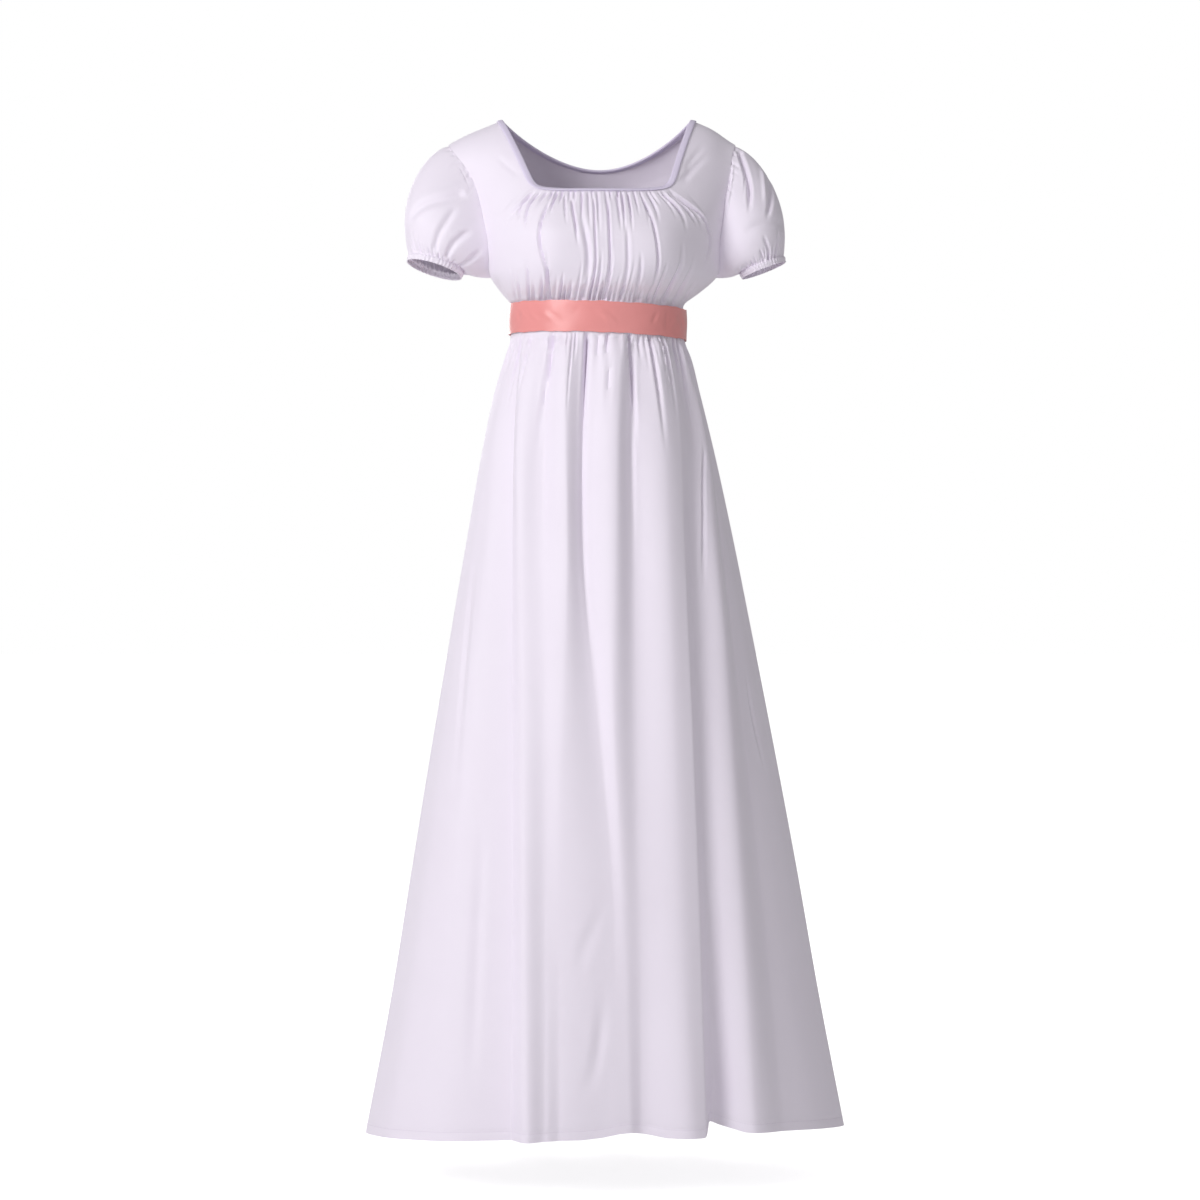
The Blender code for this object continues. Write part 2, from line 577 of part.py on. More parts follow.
def make_sash(material):
    angles = np.linspace(0, 2 * math.pi, SASH_COLUMNS, endpoint=False)
    depth = np.where(np.cos(angles) >= 0, WAIST_FRONT, WAIST_BACK)
    across, ahead, level = np.sin(angles), -np.cos(angles), 0 * angles
    normal = unit(np.stack([across / WAIST_HALF_WIDTH, ahead / depth, level], axis=-1))
    line = np.stack([across * WAIST_HALF_WIDTH, ahead * depth, level], axis=-1)
    line = line + normal * (SEAM + RIBBON)
    line[:, 2] -= SASH_ROLL * line[:, 0]
    rows = [line + np.array([0.0, 0.0, z]) for z in (SASH_TOP, SASH_FOOT)]
    wall("sash", np.array(rows), np.array([normal, normal]), RIBBON, material, ring=True)


def make_skirt(material):
    grid, front_columns = skirt_grid()
    columns = grid.shape[1]
    normals = surface_normals(grid, np.ones((len(grid) - 1, columns), bool), True)
    normals = outward(normals, grid, grid.mean((0, 1)))
    for name, first, last, forward in (
        ("skirt_front", 0, front_columns, -1),
        ("skirt_back", front_columns, columns, 1),
    ):
        picked = [c % columns for c in range(first, last + 1)]
        panel = grid[:, picked].copy()
        panel[:, (0, -1), 1] += forward * SEAM / 2
        turned = normals[:, picked].copy()
        turned[:, (0, -1), 1] = 0
        wall(name, panel, unit(turned), CLOTH, material)


def make_sleeves(material):
    for name, sleeve in SLEEVES.items():
        grid, away = sleeve_grid(sleeve)
        normals = surface_normals(grid, np.ones((len(grid) - 1, grid.shape[1]), bool), True)
        normals = outward(normals, grid, grid.mean((0, 1)))
        normals[0] = away
        wall(name, grid, normals, CLOTH, material, ring=True)


def clear_scene():
    for thing in list(bpy.data.objects):
        bpy.data.objects.remove(thing, do_unlink=True)


def main():
    clear_scene()
    cloth = finish("cloth", COLOURS["cloth"], 0.7)
    ribbon = finish("ribbon", COLOURS["ribbon"], 0.35)
    binding = finish("binding", COLOURS["binding"], 0.6)
    edges = make_bodice(cloth)
    make_binding(edges, binding)
    make_sleeves(cloth)
    make_sash(ribbon)
    make_skirt(cloth)


main()
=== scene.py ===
"""The looks of a white Regency gown: gathered cotton sateen, puff sleeves and a satin ribbon sash.

Metres, +Z up, in the frame's own axes: the front faces -Y and the wearer's left is +X. Every cloth piece is
a thin shell on the form of its CAD node. Its folds are placed on the cloth as if it lay flat, as soft
troughs with a length, a width and a depth of their own.
"""

import math
from collections import namedtuple

import bpy
import numpy as np
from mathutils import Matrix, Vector


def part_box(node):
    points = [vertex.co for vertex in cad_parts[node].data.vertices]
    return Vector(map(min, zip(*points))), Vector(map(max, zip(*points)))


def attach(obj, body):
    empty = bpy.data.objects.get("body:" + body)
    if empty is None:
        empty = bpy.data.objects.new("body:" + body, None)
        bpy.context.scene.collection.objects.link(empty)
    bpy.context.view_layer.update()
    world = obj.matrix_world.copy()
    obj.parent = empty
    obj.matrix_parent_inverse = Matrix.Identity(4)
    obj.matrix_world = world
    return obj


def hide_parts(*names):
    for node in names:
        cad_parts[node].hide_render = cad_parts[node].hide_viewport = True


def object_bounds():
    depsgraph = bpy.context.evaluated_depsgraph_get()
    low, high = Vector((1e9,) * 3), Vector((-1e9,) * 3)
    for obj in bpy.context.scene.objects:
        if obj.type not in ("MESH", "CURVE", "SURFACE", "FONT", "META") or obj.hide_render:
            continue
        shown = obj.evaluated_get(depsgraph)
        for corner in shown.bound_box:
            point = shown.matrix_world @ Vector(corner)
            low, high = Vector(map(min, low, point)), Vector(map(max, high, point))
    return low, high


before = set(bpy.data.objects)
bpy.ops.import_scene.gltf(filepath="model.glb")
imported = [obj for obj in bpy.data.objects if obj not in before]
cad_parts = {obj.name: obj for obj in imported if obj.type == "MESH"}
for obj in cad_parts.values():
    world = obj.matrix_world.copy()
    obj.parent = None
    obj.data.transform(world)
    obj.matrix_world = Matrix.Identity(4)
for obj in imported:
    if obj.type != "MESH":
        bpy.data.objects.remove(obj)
cad_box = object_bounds()

# Driving sizes
CLOTH = 0.0009  # thickness of the cotton
RIBBON = 0.0006  # thickness of the sash's satin and of the bias strip
SEAM_LEVEL = 0.5 * (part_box("bodice_front")[0].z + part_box("skirt_front")[1].z)  # the empire seam
HEM_LEVEL = -1.3790
HEM_LIFT_FRONT, HEM_LIFT_LEFT = 0.0200, 0.0050  # how much higher the hem hangs in front and at the left
HEM_TURNING = 0.0130  # depth of the turned hem, up to its stitches
SASH_TOP, SASH_FOOT = -0.2560, -0.2975
SASH_ROLL = 0.035  # how fast the sash falls towards the wearer's left
SASH_PROUD, SASH_OVER = 0.0020, 0.0010  # how far it stands off the seam, and its upper end off its under end
SASH_RADIUS = 0.11  # about the body's radius there, for placing its creases
WAIST_HALF_WIDTH, WAIST_FRONT, WAIST_BACK = 0.1200, 0.0995, 0.0970  # the body under the sash
NECK_POINT = (0.1350, 0.0, -0.0015)  # where a shoulder seam meets the neck binding
SHOULDER_POINT = (0.1965, 0.0, -0.0330)  # where a shoulder seam meets the sleeve
NECK_FRONT, NECK_BACK = -0.1100, -0.0600
UNDERARM = -0.2160
CUFF_BAND, CUFF_FORWARD = 0.0090, 0.0060  # the depth of the cuff's casing, and how far forward it is
SLEEVE_TUCK = 0.0010  # how far a sleeve's edge lies inside its armhole
NECK_ROUNDING = 90  # rounds of smoothing that turn the square neckline's corners
NECK_CORNER_RISE = 0.004  # how much higher the neckline is at its corners than in its middle
NECK_HOLD = 0.15  # the share of a gather's depth that is left under the neck binding
BINDING_DEPTH = 0.0026  # thickness of the folded strip, over both its layers and the edge between them

# How finely the cloth is divided
WAIST_ROWS, CHEST_ROWS = 34, 60  # of the bodice, below and above the underarm
CENTRE_COLUMNS, STRAP_COLUMNS, STRAP_ROWS = 110, 26, 40
SLEEVE_COLUMNS, SLEEVE_ROWS, BAND_ROWS = 260, 84, 9
NECK_POINTS = 420  # round the neck edge
SKIRT_COLUMN = 0.0026  # about the width of the skirt's columns at the hem
SASH_COLUMNS, SASH_ROWS = 300, 16
FOLD_STEPS = 24  # straight steps along a fold's path
JOINT_ROWS, JOINT_ROUNDS = 16, 60  # rows smoothed on each side of the neck level, and how many times

# Level sections of the body, from the empire seam up, and of the skirt, from the empire seam down. cup is how
# far the cups stand out, and arm is by how many degrees the armhole cuts a panel back.
TORSO = {
    "z": (-0.2765, -0.2500, -0.2360, -0.2160, -0.1920, -0.1680, -0.1400, -0.1100),
    "half_width": (0.1190, 0.1198, 0.1350, 0.1535, 0.1610, 0.1660, 0.1740, 0.1820),
    "front": (0.0985, 0.0992, 0.1170, 0.1290, 0.1350, 0.1370, 0.1280, 0.1100),
    "back": (0.0960, 0.0967, 0.1010, 0.1030, 0.1040, 0.1030, 0.1000, 0.0940),
    "cup": (0.0, 0.0, 0.0045, 0.0100, 0.0130, 0.0110, 0.0050, 0.0),
    "arm": (0.0, 0.0, 0.0, 0.0, 13.0, 18.0, 21.0, 23.0),
}
CUP_CENTRE, CUP_SPREAD = 0.0800, 0.0420
GATHERED = {  # how far from the centre line the gathered part of the front reaches
    "z": (-0.2765, -0.2500, -0.2300, -0.2160, -0.1900, -0.1560, -0.1300, -0.1100),
    "reach": (0.1150, 0.1165, 0.1260, 0.1330, 0.1410, 0.1420, 0.1240, 0.0950),
}
LEAN = {  # how far the settled gown leans to +X at each level
    "z": (-0.2500, -0.2160, -0.1700, -0.1100, -0.0500, 0.0),
    "shift": (0.0, 0.0080, 0.0085, 0.0060, 0.0020, -0.0015),
}
SHOULDER_SHIFT = -0.0085  # what the shoulders are moved by besides
SHOULDER_START, SHOULDER_REACH = (0.145, -0.095), (0.05, 0.06)  # in x and z, where that begins and how fast
SKIRT = {
    "z": (-0.2765, -0.3040, -0.3250, -0.3700, -0.4500, -0.5600, -0.7000, -0.8600, -1.0300, -1.2000, -1.3790),
    "left": (0.1190, 0.1200, 0.1280, 0.1395, 0.1590, 0.1830, 0.2110, 0.2420, 0.2735, 0.3030, 0.3370),
    "right": (0.1190, 0.1200, 0.1265, 0.1400, 0.1570, 0.1765, 0.2005, 0.2275, 0.2550, 0.2825, 0.3170),
    "front": (0.0985, 0.0995, 0.1060, 0.1150, 0.1270, 0.1410, 0.1570, 0.1740, 0.1900, 0.2040, 0.2180),
    "back": (0.0960, 0.0970, 0.1060, 0.1220, 0.1430, 0.1650, 0.1880, 0.2090, 0.2270, 0.2420, 0.2560),
}

# cuff_x and cuff_z are the middle of the cuff's foot, and across and deep its half width and half depth.
# tilt and pitch are how many degrees the arm's line leans out and forward. puff_top and puff_foot are how
# far, in x and z, the line over the top swings out past the armhole and above the cuff. full is how far the
# sides swell, and swell is the share of that by the armhole.
SLEEVES = {
    "left": {
        "side": 1, "cuff_x": 0.2277, "cuff_z": -0.2056, "across": 0.0316, "deep": 0.0420, "tilt": 20.6,
        "pitch": 0.0, "puff_top": (0.0340, -0.0120), "puff_foot": (0.0085, 0.0760), "full": 0.024,
        "swell": 0.75, "seed": 31,
    },
    "right": {
        "side": -1, "cuff_x": 0.2236, "cuff_z": -0.2044, "across": 0.0390, "deep": 0.0430, "tilt": 16.8,
        "pitch": 7.0, "puff_top": (0.0330, -0.0080), "puff_foot": (0.0190, 0.0800), "full": 0.026,
        "swell": 0.35, "seed": 37,
    },
}

# The skirt's fold lines. x is where a line runs at each level and out is how far it stands out there, in mm,
# a valley being negative. crease is 1 where the fold is sharp.
FOLD_LEVELS = (-0.300, -0.400, -0.600, -0.800, -1.050, -1.379)
Line = namedtuple("Line", "x out crease")
FRONT_LINES = (
    Line((-0.113, -0.134, -0.152, -0.170, -0.190, -0.207), (0, 2, 4, 6, 8, 9), 0),
    Line((-0.105, -0.115, -0.118, -0.118, -0.116, -0.115), (-2, -6, -9, -11, -12, -10), 1),
    Line((-0.096, -0.103, -0.100, -0.097, -0.093, -0.088), (2, 4, 4, 5, 8, 15), 0),
    Line((-0.067, -0.075, -0.072, -0.070, -0.068, -0.066), (-3, -4, -2, -1, 1, 4), 0),
    Line((-0.042, -0.042, -0.040, -0.045, -0.049, -0.049), (4, 6, 6, 4, 2, -2), 0),
    Line((-0.015, -0.020, -0.019, -0.001, 0.019, 0.019), (-5, -8, -9, -8, -5, -12), 0),
    Line((0.030, 0.026, 0.023, 0.022, 0.035, 0.042), (4, 5, 6, 4, -2, -13), 0),
    Line((0.050, 0.047, 0.050, 0.052, 0.056, 0.062), (-5, -7, -8, -7, -6, -20), 0),
    Line((0.080, 0.086, 0.095, 0.101, 0.109, 0.123), (5, 7, 8, 8, 7, 3), 0),
    Line((0.093, 0.106, 0.114, 0.122, 0.132, 0.143), (2, 4, 5, 6, 4, -1), 1),
    Line((0.102, 0.124, 0.129, 0.138, 0.149, 0.164), (-3, -5, -6, -7, -9, -32), 0),
    Line((0.110, 0.136, 0.157, 0.172, 0.188, 0.208), (2, 4, 6, 7, 7, 4), 0),
    Line((0.115, 0.143, 0.173, 0.196, 0.225, 0.255), (-1, -2, -3, -5, -7, -9), 0),
)
BACK_LINES = (
    Line((-0.105, -0.126, -0.140, -0.165, -0.195, -0.240), (2, 3, 4, 5, 7, 10), 0),
    Line((-0.088, -0.104, -0.118, -0.138, -0.155, -0.182), (-3, -5, -7, -10, -15, -26), 0),
    Line((-0.066, -0.074, -0.082, -0.092, -0.104, -0.122), (4, 6, 7, 8, 12, 18), 0),
    Line((-0.046, -0.051, -0.054, -0.058, -0.060, -0.062), (-4, -7, -8, -10, -14, -22), 0),
    Line((-0.022, -0.024, -0.024, -0.024, -0.021, -0.012), (4, 7, 9, 11, 14, 19), 0),
    Line((0.004, 0.008, 0.010, 0.014, 0.024, 0.042), (-4, -7, -8, -10, -15, -24), 1),
    Line((0.030, 0.038, 0.044, 0.052, 0.066, 0.090), (4, 7, 9, 11, 13, 17), 0),
    Line((0.056, 0.068, 0.078, 0.092, 0.110, 0.140), (-4, -6, -7, -9, -15, -26), 0),
    Line((0.084, 0.102, 0.118, 0.138, 0.162, 0.204), (3, 5, 6, 8, 10, 14), 0),
    Line((0.106, 0.128, 0.146, 0.172, 0.206, 0.260), (-2, -3, -4, -5, -7, -9), 0),
)

# The front hem's uneven hang: x, and how many mm it is raised there. It steps up beside the sharp front fold.
HEM_RISE = (
    (-0.020, 0), (0.008, 2), (0.030, 6), (0.046, 7), (0.066, 4), (0.090, 0), (0.1415, 0), (0.145, 5),
    (0.151, 17), (0.156, 18), (0.170, 12), (0.196, 4), (0.260, 2), (0.330, 0),
)
HEM_REACH = 0.240  # how far up the skirt that unevenness is taken up

# A fold is a trough that follows a path over the flat cloth. width and depth are in mm, and fade is over how
# much of its length it grows at its start and dies away at its end. A negative depth is a ridge.
Fold = namedtuple("Fold", "path width depth fade")
FOLD_REACH = 3  # widths from its path at which a fold has died away
FOLD_LIP = 0.8  # how much the cloth swells up on both sides of a trough


# Small tools for curves and tables

def unit(v):
    """The vectors at length 1."""
    v = np.asarray(v, float)
    return v / np.maximum(np.linalg.norm(v, axis=-1, keepdims=True), 1e-12)


def smooth_step(t):
    """0 below 0 and 1 above 1, with an easy start and end between them."""
    t = np.clip(t, 0.0, 1.0)
    return t * t * (3.0 - 2.0 * t)


def curve_through(knots, values, at):
    """A smooth curve through a table's values (Hermite, with slopes from the neighbours), read at `at`."""
    knots, values = np.asarray(knots, float), np.asarray(values, float)
    if knots[0] > knots[-1]:
        knots, values = knots[::-1], values[::-1]
    slopes = np.gradient(values, knots)
    at = np.clip(np.asarray(at, float), knots[0], knots[-1])
    i = np.clip(np.searchsorted(knots, at, side="right") - 1, 0, len(knots) - 2)
    step = knots[i + 1] - knots[i]
    t = (at - knots[i]) / step
    return (
        (2 * t**3 - 3 * t**2 + 1) * values[i]
        + (t**3 - 2 * t**2 + t) * step * slopes[i]
        + (3 * t**2 - 2 * t**3) * values[i + 1]
        + (t**3 - t**2) * step * slopes[i + 1]
    )


def at_level(table, name, z):
    """A column of a table of levels, read at the height z."""
    return curve_through(table["z"], table[name], z)


def bezier(a, b, c, d, steps):
    """A cubic Bezier curve from a to d, read at each of the steps."""
    t = np.asarray(steps, float)[:, None]
    a, b, c, d = (np.asarray(p, float) for p in (a, b, c, d))
    return (1 - t) ** 3 * a + 3 * (1 - t) ** 2 * t * b + 3 * (1 - t) * t**2 * c + t**3 * d


def bridge(a, leave, b, arrive, steps):
    """A Bezier curve from a to b. leave and arrive are its handles, measured from a and from b."""
    a, b = np.asarray(a, float), np.asarray(b, float)
    return bezier(a, a + leave, b + arrive, b, steps)


def coons(bottom, top, inner, outer):
    """A grid of points between four edges: bottom and top run across, inner and outer run up."""
    u = np.linspace(0, 1, len(bottom))[None, :, None]
    v = np.linspace(0, 1, len(inner))[:, None, None]
    ruled_up = (1 - v) * bottom[None] + v * top[None]
    ruled_across = (1 - u) * inner[:, None] + u * outer[:, None]
    corners = (
        (1 - u) * (1 - v) * bottom[0]
        + u * (1 - v) * bottom[-1]
        + (1 - u) * v * top[0]
        + u * v * top[-1]
    )
    return ruled_up + ruled_across - corners


def even_points(line, count):
    """The same line with `count` points spaced evenly along it."""
    along = np.concatenate([[0], np.cumsum(np.linalg.norm(np.diff(line, axis=0), axis=1))])
    even = np.linspace(0, along[-1], count)
    return np.stack([np.interp(even, along, line[:, k]) for k in range(3)], axis=1)


def relaxed(grid, joint, column):
    """The grid smoothed up and down near a row, from a column on, so that no ridge is left there."""
    grid = grid.copy()
    rows = slice(joint - JOINT_ROWS, joint + JOINT_ROWS + 1)
    for _ in range(JOINT_ROUNDS):
        patch = grid[rows.start - 1 : rows.stop + 1, column:]
        grid[rows, column:] = 0.25 * patch[:-2] + 0.5 * patch[1:-1] + 0.25 * patch[2:]
    return grid


def grid_normals(grid, ring):
    """Normals at each point of a grid, from its neighbours. Which way they face is settled by `outward`."""
    if ring:
        across = np.roll(grid, -1, axis=1) - np.roll(grid, 1, axis=1)
    else:
        across = np.gradient(grid, axis=1)
    return unit(np.cross(across, np.gradient(grid, axis=0)))


def outward(normals, grid, centre):
    """The normals, turned round if they face the centre."""
    return normals if np.sum(normals * (grid - centre)) > 0 else -normals


def troughs(flat, folds):
    """How far the folds move each point of a cloth, in metres. flat is each point's place on the cloth."""
    out = np.zeros(flat.shape[:2])
    share = np.linspace(0, 1, FOLD_STEPS + 1)
    for fold in folds:
        knots = np.linspace(0, 1, len(fold.path))
        route = np.stack([curve_through(knots, [p[k] for p in fold.path], share) for k in (0, 1)], axis=1)
        reach = FOLD_REACH * fold.width / 1000
        low, high = route.min(0) - reach, route.max(0) + reach
        near = np.all((flat > low) & (flat < high), axis=-1)
        if not near.any():
            continue
        # The nearest place on each step of the path, and then the nearest step
        place = flat[near][:, None]
        a, b = route[None, :-1], route[None, 1:]
        t = np.clip(np.sum((place - a) * (b - a), -1) / np.maximum(np.sum((b - a) ** 2, -1), 1e-12), 0, 1)
        away = np.linalg.norm(place - a - t[..., None] * (b - a), axis=-1)
        nearest = np.argmin(away, axis=1)
        pick = np.arange(len(nearest))
        along = (nearest + t[pick, nearest]) / FOLD_STEPS
        q = (away[pick, nearest] / (fold.width / 1000)) ** 2  # the distance in widths, squared
        start, end = fold.fade
        strength = smooth_step(along / start) if start else 1.0
        strength = strength * (smooth_step((1 - along) / end) if end else 1.0)
        out[near] -= fold.depth / 1000 * strength * (1 - FOLD_LIP * q) * np.exp(-q)
    return out


# Materials

def linear(colour):
    """An sRGB hex colour as linear light."""
    parts = [int(colour[i : i + 2], 16) / 255 for i in (1, 3, 5)]
    return tuple(c / 12.92 if c <= 0.04045 else ((c + 0.055) / 1.055) ** 2.4 for c in parts)


def add(tree, kind, inputs=(), **settings):
    """Adds a node with its settings. An input is a value, or another node's output to link from."""
    made = tree.nodes.new(kind)
    for name, value in settings.items():
        setattr(made, name, value)
    for socket, value in dict(inputs).items():
        if isinstance(value, bpy.types.NodeSocket):
            tree.links.new(value, made.inputs[socket])
        else:
            made.inputs[socket].default_value = value
    return made


def woven(name, light, dark, warp, weft, float_share, roughness, sheen, crumple):
    """A woven cloth. warp and weft are the thread spacings that show, in metres on the flat cut. float_share
    is how much of it the warp covers, and crumple is how strong its fine creases are."""
    material = bpy.data.materials.new(name)
    material.use_nodes = True
    tree = material.node_tree
    shader = tree.nodes["Principled BSDF"]
    wave_turn = 2 * math.pi / 20  # a Wave Texture's bands are this far apart at scale 1
    cut = add(tree, "ShaderNodeUVMap", uv_map="cut").outputs["UV"]
    place = add(tree, "ShaderNodeTexCoord").outputs["Object"]
    ends, picks = (
        add(
            tree, "ShaderNodeTexWave",
            {"Vector": cut, "Scale": wave_turn / spacing, "Distortion": 0.4, "Detail": 1.0},
            bands_direction=across,
        ).outputs["Fac"]
        for across, spacing in (("X", warp), ("Y", weft))
    )
    weave = add(tree, "ShaderNodeMix", {0: float_share, 2: picks, 3: ends}).outputs[0]
    cloudy = add(tree, "ShaderNodeTexNoise", {"Vector": place, "Scale": 7.0, "Detail": 3.0}).outputs["Fac"]
    slubs = add(tree, "ShaderNodeMix", {0: 0.2, 2: cloudy, 3: weave}).outputs[0]
    tint = add(
        tree, "ShaderNodeMix",
        {0: slubs, 6: (*linear(dark), 1.0), 7: (*linear(light), 1.0)},
        data_type="RGBA",
    ).outputs[2]
    fine = add(
        tree, "ShaderNodeTexNoise", {"Vector": place, "Scale": 55.0, "Detail": 3.0, "Roughness": 0.55}
    ).outputs["Fac"]
    soft = add(tree, "ShaderNodeBump", {"Strength": crumple, "Distance": 0.003, "Height": fine})
    threads = add(
        tree, "ShaderNodeBump",
        {"Strength": 0.35, "Distance": 0.00012, "Height": weave, "Normal": soft.outputs["Normal"]},
    )
    tree.links.new(tint, shader.inputs["Base Color"])
    tree.links.new(threads.outputs["Normal"], shader.inputs["Normal"])
    shader.inputs["Roughness"].default_value = roughness
    shader.inputs["Sheen Weight"].default_value = sheen
    shader.inputs["Sheen Roughness"].default_value = 0.4
    return material


def make_materials():
    """The gown's finishes."""
    # Cotton sateen: warp threads float over most of the surface, so it is smooth with a faint soft gloss. Its
    # threads are 0.25 mm apart, and they are drawn 0.8 mm apart so that they show.
    sateen = woven(
        "cotton_sateen", "#F5EEFA", "#F0E8F5",
        warp=0.0008, weft=0.0011, float_share=0.75, roughness=0.58, sheen=0.12, crumple=0.02,
    )
    # Polyester satin ribbon: long floats across the ribbon give it a bright, directional gloss.
    satin = woven(
        "satin_ribbon", "#F3A09E", "#EB9492",
        warp=0.0007, weft=0.0007, float_share=0.2, roughness=0.27, sheen=0.1, crumple=0.01,
    )
    # Bias binding: the same cotton cut on the slant, a touch more lilac where it is doubled.
    binding = woven(
        "bias_binding", "#E6DDF3", "#E1D7EF",
        warp=0.0008, weft=0.0008, float_share=0.5, roughness=0.6, sheen=0.12, crumple=0.01,
    )
    # Spun sewing thread: matt, a shade darker than the cloth it lies in.
    thread = woven(
        "sewing_thread", "#E2DAE8", "#DDD4E3",
        warp=0.0008, weft=0.0008, float_share=0.5, roughness=0.7, sheen=0.0, crumple=0.0,
    )
    return {"sateen": sateen, "satin": satin, "binding": binding, "thread": thread}


# Objects

def put(name, data):
    """A new object in the scene, for a mesh, a light or a camera."""
    made = bpy.data.objects.new(name, data)
    bpy.context.collection.objects.link(made)
    return made


def apply_modifiers(piece):
    """Turns what a piece's modifiers make into its own mesh."""
    shaped = piece.evaluated_get(bpy.context.evaluated_depsgraph_get())
    piece.data = bpy.data.meshes.new_from_object(shaped)
    piece.modifiers.clear()


# Cloth pieces

def cloth_piece(name, grid, centre, thickness, material, cut, kept=None, ring=False):
    """A thin shell whose outer surface is the grid. Its UV map holds each point's place on the flat cut."""
    rows, columns = grid.shape[:2]
    spans = columns if ring else columns - 1
    i, j = np.nonzero(np.ones((rows - 1, spans), bool) if kept is None else kept)
    down, over = np.stack([i, i, i + 1, i + 1], axis=1), np.stack([j, j + 1, j + 1, j], axis=1)
    corners = down * columns + over % columns
    a, b, c = (grid.reshape(-1, 3)[corners[:, k]] for k in range(3))
    if np.sum(np.cross(b - a, c - b) * (a - centre)) < 0:
        corners, down, over = corners[:, ::-1], down[:, ::-1], over[:, ::-1]
    used, corners = np.unique(corners, return_inverse=True)
    mesh = bpy.data.meshes.new(name)
    mesh.from_pydata(grid.reshape(-1, 3)[used].tolist(), [], corners.reshape(-1, 4).tolist())
    places = np.stack([over / spans * cut[0], down / (rows - 1) * cut[1]], axis=-1)
    mesh.uv_layers.new(name="cut").data.foreach_set("uv", places.astype(np.float32).ravel())
    mesh.materials.append(material)
    piece = put(name, mesh)
    wall = piece.modifiers.new("thickness", "SOLIDIFY")
    wall.thickness, wall.offset = thickness, -1.0
    apply_modifiers(piece)
    piece.data.shade_smooth()
    piece.data.set_sharp_from_angle(angle=math.radians(60))
    return piece


def place_piece(piece, node):
    """Says what a piece rides on, and hides the CAD node it stands for, if any."""
    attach(piece, "root")
    if node:
        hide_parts(node)


# The bodice

BODY_CENTRE = np.array([0.0, 0.0, -0.18])


def torso(angle, z, side):
    """A point of the bodice's outer surface, side being "front" or "back". angle is 0 at the panel's centre
    and a quarter turn at the side seam."""
    x = at_level(TORSO, "half_width", z) * np.sin(angle)
    y = at_level(TORSO, side, z) * np.cos(angle)
    if side == "front":
        cup = at_level(TORSO, "cup", z)
        y = -(y + cup * np.exp(-(((np.abs(x) - CUP_CENTRE) / CUP_SPREAD) ** 2)))
    return np.stack([x, y, z + 0 * x], axis=-1)


def arm_angle(z):
    """By how many degrees the armhole cuts a panel back from the side seam."""
    return at_level(TORSO, "arm", z) * (z > UNDERARM)


def leaned(points):
    """The same points, moved sideways with the settled gown."""
    places = np.stack([np.abs(points[..., 0]), points[..., 2]], axis=-1)
    outer, upper = np.moveaxis(smooth_step((places - SHOULDER_START) / SHOULDER_REACH), -1, 0)
    shift = at_level(LEAN, "shift", points[..., 2]) + SHOULDER_SHIFT * outer * upper
    return points + shift[..., None] * np.array([1.0, 0.0, 0.0])


def armhole(side, steps):
    """A panel's armhole edge, from the neck's level up to the shoulder seam."""
    start = torso(math.radians(90 - TORSO["arm"][-1]), np.float64(TORSO["z"][-1]), side)
    away = -1 if side == "front" else 1
    leave, arrive = (0.0030, -0.0060 * away, 0.0300), (-0.0020, 0.0260 * away, -0.0060)
    return bridge(start, leave, SHOULDER_POINT, arrive, steps)


def shoulder_seam(steps):
    """From the neck out to the sleeve, arched a little."""
    middle = 0.5 * (np.array(NECK_POINT) + np.array(SHOULDER_POINT)) + np.array([0.0, 0.0, 0.0030])
    return bezier(NECK_POINT, middle, middle, SHOULDER_POINT, steps)


BODICE_LEVELS = np.concatenate(
    [np.linspace(SEAM_LEVEL, UNDERARM, WAIST_ROWS), np.linspace(UNDERARM, NECK_FRONT, CHEST_ROWS)[1:]]
)


def gather_x(u, z):
    """Where the front's gathers run: u is 0 at the centre line and 1 at the edge of the gathered part. Those
    near the middle run almost straight down, and the outer ones follow the edge."""
    neck = GATHERED["reach"][-1]
    reach = at_level(GATHERED, "reach", z)
    return u * (neck + (reach - neck) * np.abs(u) ** 1.5)


def body_rows(side):
    """Half a panel from the empire seam to the neck level, as rows from the centre to the outer edge."""
    rows = []
    for z in BODICE_LEVELS:
        half_width = at_level(TORSO, "half_width", z)
        outer = math.radians(90 - arm_angle(z))
        share = np.linspace(0, 1, CENTRE_COLUMNS + 1)
        middle = np.arcsin(gather_x(share, z) / half_width) if side == "front" else share * back_corner(z)
        strap = np.linspace(middle[-1], outer, STRAP_COLUMNS + 1)[1:]
        rows.append(torso(np.concatenate([middle, strap]), z, side))
    return np.array(rows)


def mirrored(half):
    """A whole panel from its +X half, whose first column is the centre line."""
    return np.concatenate([(half * [-1, 1, 1])[:, :0:-1], half], axis=1)


